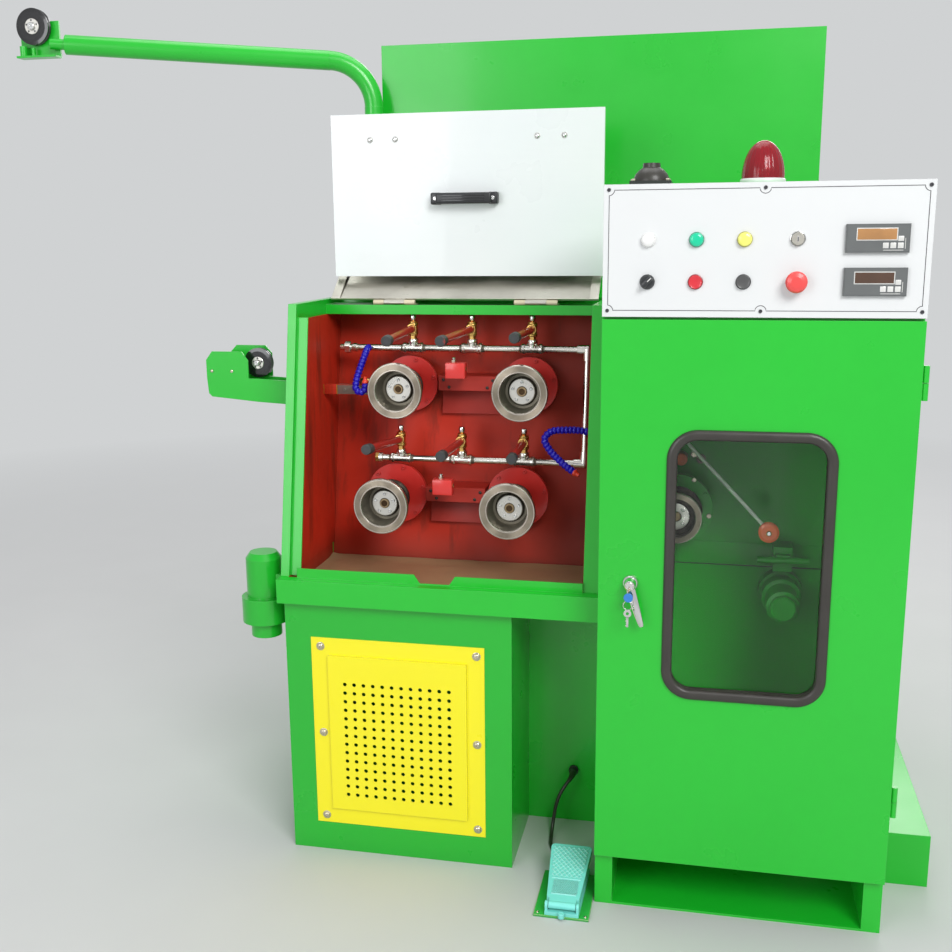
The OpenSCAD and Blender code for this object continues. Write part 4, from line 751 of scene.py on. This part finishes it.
def door_details():
    """Chromed lock with its keys, and the rubber profile round the window."""
    x, y, z = 66, -20, 747
    form = Form()
    form.lathe((x, y, z), -Y, [(16.5, 0.3), (17, 1.5), (16.6, 4), (14.5, 7.5), (12.5, 9), (11.8, 13),
        (11, 16), (11, 24), (10, 27), (7.6, 28.5), (7.2, 27), (0, 27)], chrome)
    tilt = radians(16.5)
    down = Vector((sin(tilt), 0, -cos(tilt)))
    side = Vector((cos(tilt), 0, sin(tilt)))
    rows = []
    for k in range(15):
        t = k / 14
        middle = Vector((x, y - 20 - 6 * sin(pi * t * 0.9), z)) + down * (-6 + 96 * t)
        half = 9.5 - 4.0 * t + 1.2 * sin(pi * t)
        thick = 5.0 - 1.8 * t
        if k in (0, 14):
            half *= 0.75
            thick *= 0.7
        rows.append([middle + half * cos(a) * side + thick * sin(a) * Y for a in turns(20)])
    form.rings(rows, chrome)
    kx, kz = x - 1, z - 20
    form.box((kx - 1.1, y - 36, z - 12), (kx + 1.1, y - 26, z - 3), brass, 0.4)
    form.lathe((kx, y - 38, kz), -Y, [(0, 0), (8.4, 0), (9.4, 1), (9.4, 4), (8.4, 5), (3.4, 5), (3.2, 4.6),
        (0, 4.6)], key_blue, 28)
    loop = [(kx - 1 + 9 * cos(a), y - 41 + 1.5 * sin(a), kz - 16 + 9 * sin(a)) for a in turns(28)]
    form.tube(loop, 0.9, chrome, 8, True)
    form.lathe((kx - 1, y - 41, kz - 33), -Y, [(3.2, -1), (8, -1), (8, 1), (3.2, 1)], chrome, 24)
    form.box((kx - 3, y - 42, kz - 62), (kx + 1.4, y - 40.2, kz - 40), chrome, 0.4)
    for k in range(4):
        form.box((kx - 5 + (k % 2), y - 41.8, kz - 60 + 5 * k), (kx - 2, y - 40.4, kz - 57.6 + 5 * k),
            chrome, 0.2)
    made = form.done("lock_and_keys", "door_lock", "polished_steel", 40)
    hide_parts("door_lock")
    form = Form()
    left, right, low, high, r = 193, 399, 563, 1006, 50
    section = [(10.6, -20.02), (10.4, -22.8), (9.2, -25.4), (6.6, -27.2), (3, -28.1), (0, -28.3),
        (-3, -28.1), (-6.6, -27.2), (-9.2, -25.4), (-10.4, -22.8), (-10.4, -12.1), (-4.1, -12.05),
        (-4.1, -6.95), (-10.4, -6.9), (-10.2, -2.4), (-9.6, -2.1), (-0.4, -2.1), (-0.1, -2.5),
        (-0.1, -20.02)]
    rows = []
    for cx, cz, start in ((right, low, -90), (right, high, 0), (left, high, 90), (left, low, 180)):
        for k in range(15):
            a = radians(start + 90 * k / 14)
            rows.append([(cx + (r + n) * cos(a), y, cz + (r + n) * sin(a)) for n, y in section])
    form.rings(rows, rubber, loop=True)
    made = form.done("window_profile", "door", "rubber", 40)
    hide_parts("window_gasket")


def sheet_screws():
    """Small fasteners on the fixed covers, a thin black rubber strip on the top beam, a seal that also
    stands in for the shadow gap under the lid as painted shade, and the gland's dome.
    """
    form = Form()
    for x in (-651, -282):
        for z in (517, 303, 91):
            form.lathe((x, 96, z), -Y, [(10, -0.3), (10, 1), (9, 1.4), (5, 1.4)], screw_metal, 24)
            dome_head(form, (x, 94.8, z), -Y, 7.5, screw_metal, 5)
    for x in (-550, -201):
        for s in (-40, -18, 18, 40):
            dome_head(form, (x + s, 454, 1283), Z, 3.2, screw_metal)
    for x in (-987, -935):
        dome_head(form, (x, 320, 1124), -Y, 4, screw_metal)
    for x, z in ((219, 786), (84, 742), (182, 873)):
        hex_head(form, (x, 416, z), -Y, 6, screw_metal)
    for x, y in ((-116, -70), (-12, -70)):
        dome_head(form, (x, y, 5), Z, 4, screw_metal)
    x, y, z = gland = (85, 60, 1544)
    for dx, dy in around(4, 46, 45):
        hex_head(form, (x + dx, y + dy, z), Z, 5.5, screw_metal)
    # Black rubber strip on the beam: a seal, and painted shade for the gap under the lid.
    form.box((-712, 436, 1279.9), (-40, 470, 1280.3), rubber)
    form.lathe(gland, Z, [(35, -0.2), (34.6, 6), (31, 14), (25, 21), (17.5, 26), (16.6, 34.6), (0, 34.6)],
        rubber, 40)
    form.done("sheet_screws", "machine", "steel", 30)


def lid_details():
    """Bolts of the fold hinges, and the pull handle."""
    form = Form()
    face, pivot = 476.9, 1671.3
    for x in (-615, -552, -206, -142):
        form.lathe((x, face, pivot), -Y, [(7, -0.3), (7, 0.6), (6, 1)], stainless, 24)
        dome_head(form, (x, face - 0.6, pivot), -Y, 5, chrome, 3.4)
    form.done("lid_bolts", "lid_front", "steel", 30)
    form = Form()
    z = 1531
    for x0, x1 in ((-461, -437), (-321, -297)):
        form.box((x0, face - 25, z - 14), (x1, face, z + 14), black, 4, 3)
        socket_head(form, ((x0 + x1) / 2, face - 25, z), -Y, 5, chrome, 2.6)
    form.box((-447, face - 34, z - 13), (-311, face - 20, z + 13), black, 4.5, 3)
    for k in range(3):
        form.box((-432, face - 34.8, z - 7.5 + 6 * k), (-326, face - 33.4, z - 4.5 + 6 * k), black_gloss,
            0.6)
    made = form.done("pull_handle", "lid_front", "black_plastic", 40)
    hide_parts("lid_handle")


def pedal_details():
    """Crossed ribs and fine studs on the treadle, and the floor plate under the pedal."""
    form = Form()
    middle, bend, toe_slope, heel_slope = -63, -18, 0.1875, 29 / 126

    def top(y):
        return 40.2 + (y - bend) * (heel_slope if y > bend else toe_slope)

    def rib(a, b, half):
        a, b = Vector(a), Vector(b)
        d = (b - a).normalized()
        rows = []
        for p in (a, b):
            y0, y1 = p.y - d.x * half, p.y + d.x * half
            rows.append([(p.x + d.y * half, y0, top(y0) - 0.3), (p.x, p.y, top(p.y) + 1.8),
                (p.x - d.y * half, y1, top(y1) - 0.3)])
        form.rings(rows, teal_edge)

    def reach(y):
        return 30 + 0.1 * (y - bend)

    for s in (-1, 1):
        for k in range(-9, 10):
            line = [(middle + 11 * k + s * 0.85 * (y - 54), y) for y in range(9, 101)]
            line = [p for p in line if abs(p[0] - middle) <= reach(p[1])]
            if len(line) > 6:
                rib(line[0], line[-1], 1.7)
    for y in (4, -42):
        rib((middle - reach(y), y), (middle + reach(y), y), 1.6)
    for row in range(12):
        y = -38 + row * 3.4
        for column in range(13):
            x = middle + (column - 6 + (0.5 if row % 2 else 0)) * 4.3
            near, far = y - 1.1, y + 1.1
            points = [(x - 1.7, near, top(near)), (x + 1.7, near, top(near)), (x + 1.7, far, top(far)),
                (x - 1.7, far, top(far)), (x, y, top(y) + 0.5)]
            form.add(points, [(0, 1, 4), (1, 2, 4), (2, 3, 4), (3, 0, 4), (3, 2, 1, 0)], teal_edge)
    form.done("treadle_pattern", "pedal_treadle", "blue_green_paint", 20)
    form = Form()
    form.box((-124.3, -80.3, 0.3), (-3.7, 96.3, 5.4), plate_green, 0.5)
    form.lathe((middle, -82, 5), Z, [(7, 0), (7, 10), (6, 11), (2.6, 11), (2.4, 9.8), (0, 9.8)], teal, 28)
    form.done("floor_plate", "machine", "green_paint", 30)


def beacon_details():
    """White base, ribbed red dome, and the lamp and mirror inside."""
    form = Form()
    x, y, z = c = (297, 60, 1536)
    form.lathe(c, Z, [(0, 0.2), (42.4, 0.2), (43, 1), (43, 6.6), (42, 8.4), (40.6, 9.4), (39.8, 9.6),
        (0, 9.6)], panel_white, 64)
    form.done("beacon_base", "machine", "white_panel", 40)
    form = Form()
    steps = [radians(a) for a in range(0, 90, 6)]
    outer = [(38.6, 9.8)] + [(40 * cos(a) ** 0.95, 9.8 + 70.6 * sin(a)) for a in steps] + [(1.2, 80.4)]
    inner = [(max(r - 2.4, 0.4), h - (1.8 if i > 1 else 0)) for i, (r, h) in enumerate(outer)]
    rows = []
    for i, (r, h) in enumerate(outer + inner[::-1]):
        rib = 0.45 if i < len(outer) and 14 < h < 70 else 0.0
        ring = [(r + rib * cos(24 * b), b) for b in turns(96)]
        rows.append([(x + wide * cos(b), y + wide * sin(b), z + h) for wide, b in ring])
    form.rings(rows, dome)
    shell = form.done("beacon_dome", "machine", "red_plastic", 60)
    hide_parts("beacon")
    form = Form()
    form.lathe(c, Z, [(0, 9.5), (20, 9.5), (20, 17), (9, 18), (9, 36), (12, 38), (12, 46), (7, 50),
        (0, 50)], lamp_red, 32)
    form.lathe(c, Z, [(26, 9.8), (29, 14), (30, 22), (28, 30), (29, 30), (31.2, 22), (30, 14), (27.5, 9.8)],
        chrome, 40)
    form.done("beacon_lamp", "machine", "polished_steel", 40)


def basin_floor():
    """Oily sludge on the floor of the drip tray and up its inner sides."""
    form = Form()
    x0, x1, y0, y1 = -724, -46, 103.4, 411.6135
    columns, rows, level = 44, 20, 641.8
    points = []
    for j in range(rows + 1):
        for i in range(columns + 1):
            x = x0 + (x1 - x0) * i / columns
            y = y0 + (y1 - y0) * j / rows
            lumps = 1.2 * noise.noise(Vector((x * 0.02, y * 0.03, 0)))
            bank = 5.0 * max(0.0, (j - rows + 2) / 2) + 3.0 * max(0.0, 1 - i, i - columns + 1)
            points.append((x, y, level + lumps + bank))
    n = columns + 1
    faces = [(j * n + i, j * n + i + 1, (j + 1) * n + i + 1, (j + 1) * n + i) for j in range(rows)
        for i in range(columns)]
    form.add(points, faces, basin_dirt)
    form.box((x1 + 0.8, y0, 640), (x1 + 1.6, y0 + 30, 650), basin_dirt)
    form.box((-725.2, 103.5, 640.5), (-724.2, 411, 677.8), red_sheet)
    form.done("basin_sludge", "machine", "green_paint", 60)


def inlet_cover():
    """Grey block and brass ferrule where the wire enters the chamber."""
    form = Form()
    form.box((-722, 381.4, 1063.4), (-688, 394.6, 1088.6), red_sheet, 1.6)
    form.box((-688, 381.4, 1063.4), (-605.4, 394.6, 1088.6), stainless_dull, 1.6)
    form.box((-634.6, 373.4, 1086.8), (-611.4, 394.6, 1093.6), stainless_dull, 1.2)
    ferrule = (-640, 374, 1097)
    form.lathe(ferrule, X, [(4, -0.6), (9.4, -0.6), (9.6, 1), (9.6, 39.6), (9, 40.6), (4, 40.8)], brass, 32)
    # Black lining inside the ferrule: painted shade in its bore.
    form.lathe(ferrule, X, [(4.2, 0), (4.2, 41), (0, 41)], black_print_and_hole_shade, 20)
    socket_head(form, (-668, 381.4, 1076), -Y, 4.4, stainless_dull, 2)
    form.done("inlet_block", "machine", "steel", 30)


def inside_cabinet():
    """Seams and fittings on the gear plate, the last capstan's hub and the dancer's rod."""
    form = Form()
    form.box((34, 499.3, 642), (566, 500.4, 645), green_dark, 0.3)
    form.box((34, 499.5, 700), (566, 500.4, 701.4), green, 0.2)
    form.lathe((149, 500, 912), -Y, [(15, -0.2), (15, 40), (13.5, 42), (6, 42), (6, 39), (0, 39)],
        pulley_orange, 32)
    hex_head(form, (179, 500, 919), -Y, 8, screw_metal, 9)
    form.lathe((196, 500, 908), -Y, [(11.5, -0.2), (11.5, 5), (10.5, 6), (6.5, 6), (6.3, 1.2), (0, 1.2)],
        recess_steel, 28)
    form.done("plate_fittings", "machine", "green_paint", 30)
    form = Form()
    x, y, z = FINAL
    for dx, dz in around(4, 22, 45):
        socket_head(form, (x + dx, y + 22, z + dz), -Y, 4.2, chrome, 3)
    form.lathe(FINAL, Y, [(10.6, 24), (10.6, 19), (9.4, 18), (0, 18)], shaft_end, 28)
    form.lathe(FINAL, Y, [(57.6, 0.2), (46.6, 0.2), (46.4, -0.5), (57.8, -0.5)], ring_steel, 72)
    form.lathe(FINAL, Y, [(31, 22.2), (31, 21.4), (29.6, 20.6), (12.6, 20.6), (12.6, 22.2)], hub_steel, 56)
    form.done("final_hub", "final_capstan", "polished_steel", 30)
    form = Form()
    a, b = Vector((130, 345, 1011)), Vector((354, 345, 774))
    form.lathe(b, -Y, [(0, 23), (4.8, 23), (5.6, 24.6), (5.6, 26.6), (4, 28), (0, 28)], chrome, 24)
    form.tube([a.lerp(b, t) for t in (0.04, 0.3, 0.6, 0.9, 0.975)], 4.1, rod_steel, 20)
    form.lathe((130, 337.2, 1011), -Y, [(12.8, -0.3), (13.2, 0.6), (12.4, 2), (7, 2.2), (6.4, 5.5),
        (0, 5.5)], screw_metal, 28)
    form.done("dancer_rod", "dancer_arm", "steel", 30)


def pulley_hubs():
    """Machined hubs and pin ends of the two guide pulleys."""
    for name, (x, y, z), bore, outer, pin, front in (("arm_pulley", (-1488, 465, 1967), 10, 19, 9.5, 459),
            ("infeed_pulley", (-876, 344, 1143), 7.6, 15, 6.5, 334)):
        form = Form()
        face = [(bore, -0.3), (outer, -0.3), (outer, 0.9), (outer - 1, 1.5), (bore, 1.5)]
        form.lathe((x, y, z), -Y, face, hub_steel, 40)
        # Black dots on the hub: painted shade in its holes.
        for dx, dz in around(5, (bore + outer) / 2, 90):
            form.lathe((x + dx, y - 1.3, z + dz), -Y, [(2.3, 0), (2.3, 0.4), (0, 0.4)], black_print_and_hole_shade, 14)
        form.done(name + "_hub", name, "polished_steel", 30)
        form = Form()
        cap = [(pin, front - y + 1.0), (pin, 0.5), (pin - 1.2, 1.4), (pin * 0.3, 1.4), (pin * 0.25, 0.6),
            (0, 0.6)]
        form.lathe((x, front, z), -Y, cap, chrome, 32)
        form.done(name + "_pin", "machine", "polished_steel", 30)


def back_details():
    """Locks, hinges and louvres on the rear cabinet's two doors."""
    form = Form()
    y = 1133
    for x in (-107, -93):
        form.box((x - 9, y, 960), (x + 9, y + 5, 1080), black, 2)
        form.box((x - 6, y + 4, 974), (x + 6, y + 9, 1040), black_gloss, 2)
    for x in (-651, 449):
        for z in (270, 980, 1690):
            form.lathe((x, y - 4, z), Z, [(0, 0), (6, 0), (6, 60), (0, 60)], green, 20)
    for x0 in (-530, 60):
        for k in range(8):
            z = 320 + 22 * k
            form.prism([(y - 0.5, z), (y + 6, z + 2), (y - 0.5, z + 12)], x0, x0 + 270, green)
    form.done("door_fittings", "machine", "green_paint", 30)


capstan_details()
pipework()
hoses()
control_details()
door_details()
sheet_screws()
lid_details()
pedal_details()
beacon_details()
basin_floor()
inlet_cover()
inside_cabinet()
pulley_hubs()
back_details()


# Floor, world and lamps
PALE = rgb(208, 210, 211)


def studio():
    """A pale floor that fades into the backdrop, and four soft lamps."""
    bpy.ops.mesh.primitive_plane_add(size=60, location=(0, 0, 0))
    floor = bpy.context.object
    floor.name = "floor"
    made, tree = new_material("floor_paint", (0.6, 0.6, 0.6, 1), 0.75)
    base = tree.mix(tree.cloud(3, 4), (0.585, 0.585, 0.585, 1), (0.625, 0.625, 0.625, 1))
    tree.surface(Base_Color=base, Specular_IOR_Level=0.2)
    away = tree.put("VectorMath", tree.place(), attributes={"operation": "LENGTH"}).outputs["Value"]
    far = tree.times(tree.remap(away, 2.2, 6.5), tree.seen())
    haze = tree.put("Emission", Color=PALE, Strength=1.0)
    tree.plug(made.node_tree.nodes["Material Output"], tree.mix_shaders(far, tree.shader, haze))
    floor.data.materials.append(made)

    world = bpy.data.worlds.new("studio")
    scene.world = world
    world.use_nodes = True
    world.node_tree.nodes.clear()
    tree = Nodes(world.node_tree)
    lit = tree.put("Background", Color=(0.97, 0.98, 1, 1), Strength=0.42)
    backdrop = tree.put("Background", Color=PALE, Strength=1.0)
    tree.put("OutputWorld", tree.mix_shaders(tree.seen(), lit, backdrop))

    def area(name, at, to, size, power, colour=(1, 1, 1)):
        data = bpy.data.lights.new(name, "AREA")
        data.shape = "RECTANGLE"
        data.size, data.size_y = size
        data.energy = power
        data.color = colour
        lamp = bpy.data.objects.new(name, data)
        scene.collection.objects.link(lamp)
        lamp.location = at
        lamp.rotation_euler = (Vector(to) - Vector(at)).to_track_quat("-Z", "Y").to_euler()

    area("key", (2.4, -4.0, 4.2), (0.1, 0.1, 0.9), (2.6, 2.2), 215)
    area("fill", (-2.6, -4.2, 2.1), (-0.4, 0.1, 0.8), (2.2, 2.2), 60, (0.96, 0.98, 1))
    area("top", (-0.2, 1.0, 5.2), (-0.2, 0.6, 0), (4, 3), 80)
    area("back", (0.5, 5.0, 3.5), (-0.1, 0.8, 0.9), (3, 2.4), 95)


studio()
scene.view_settings.view_transform = "Standard"
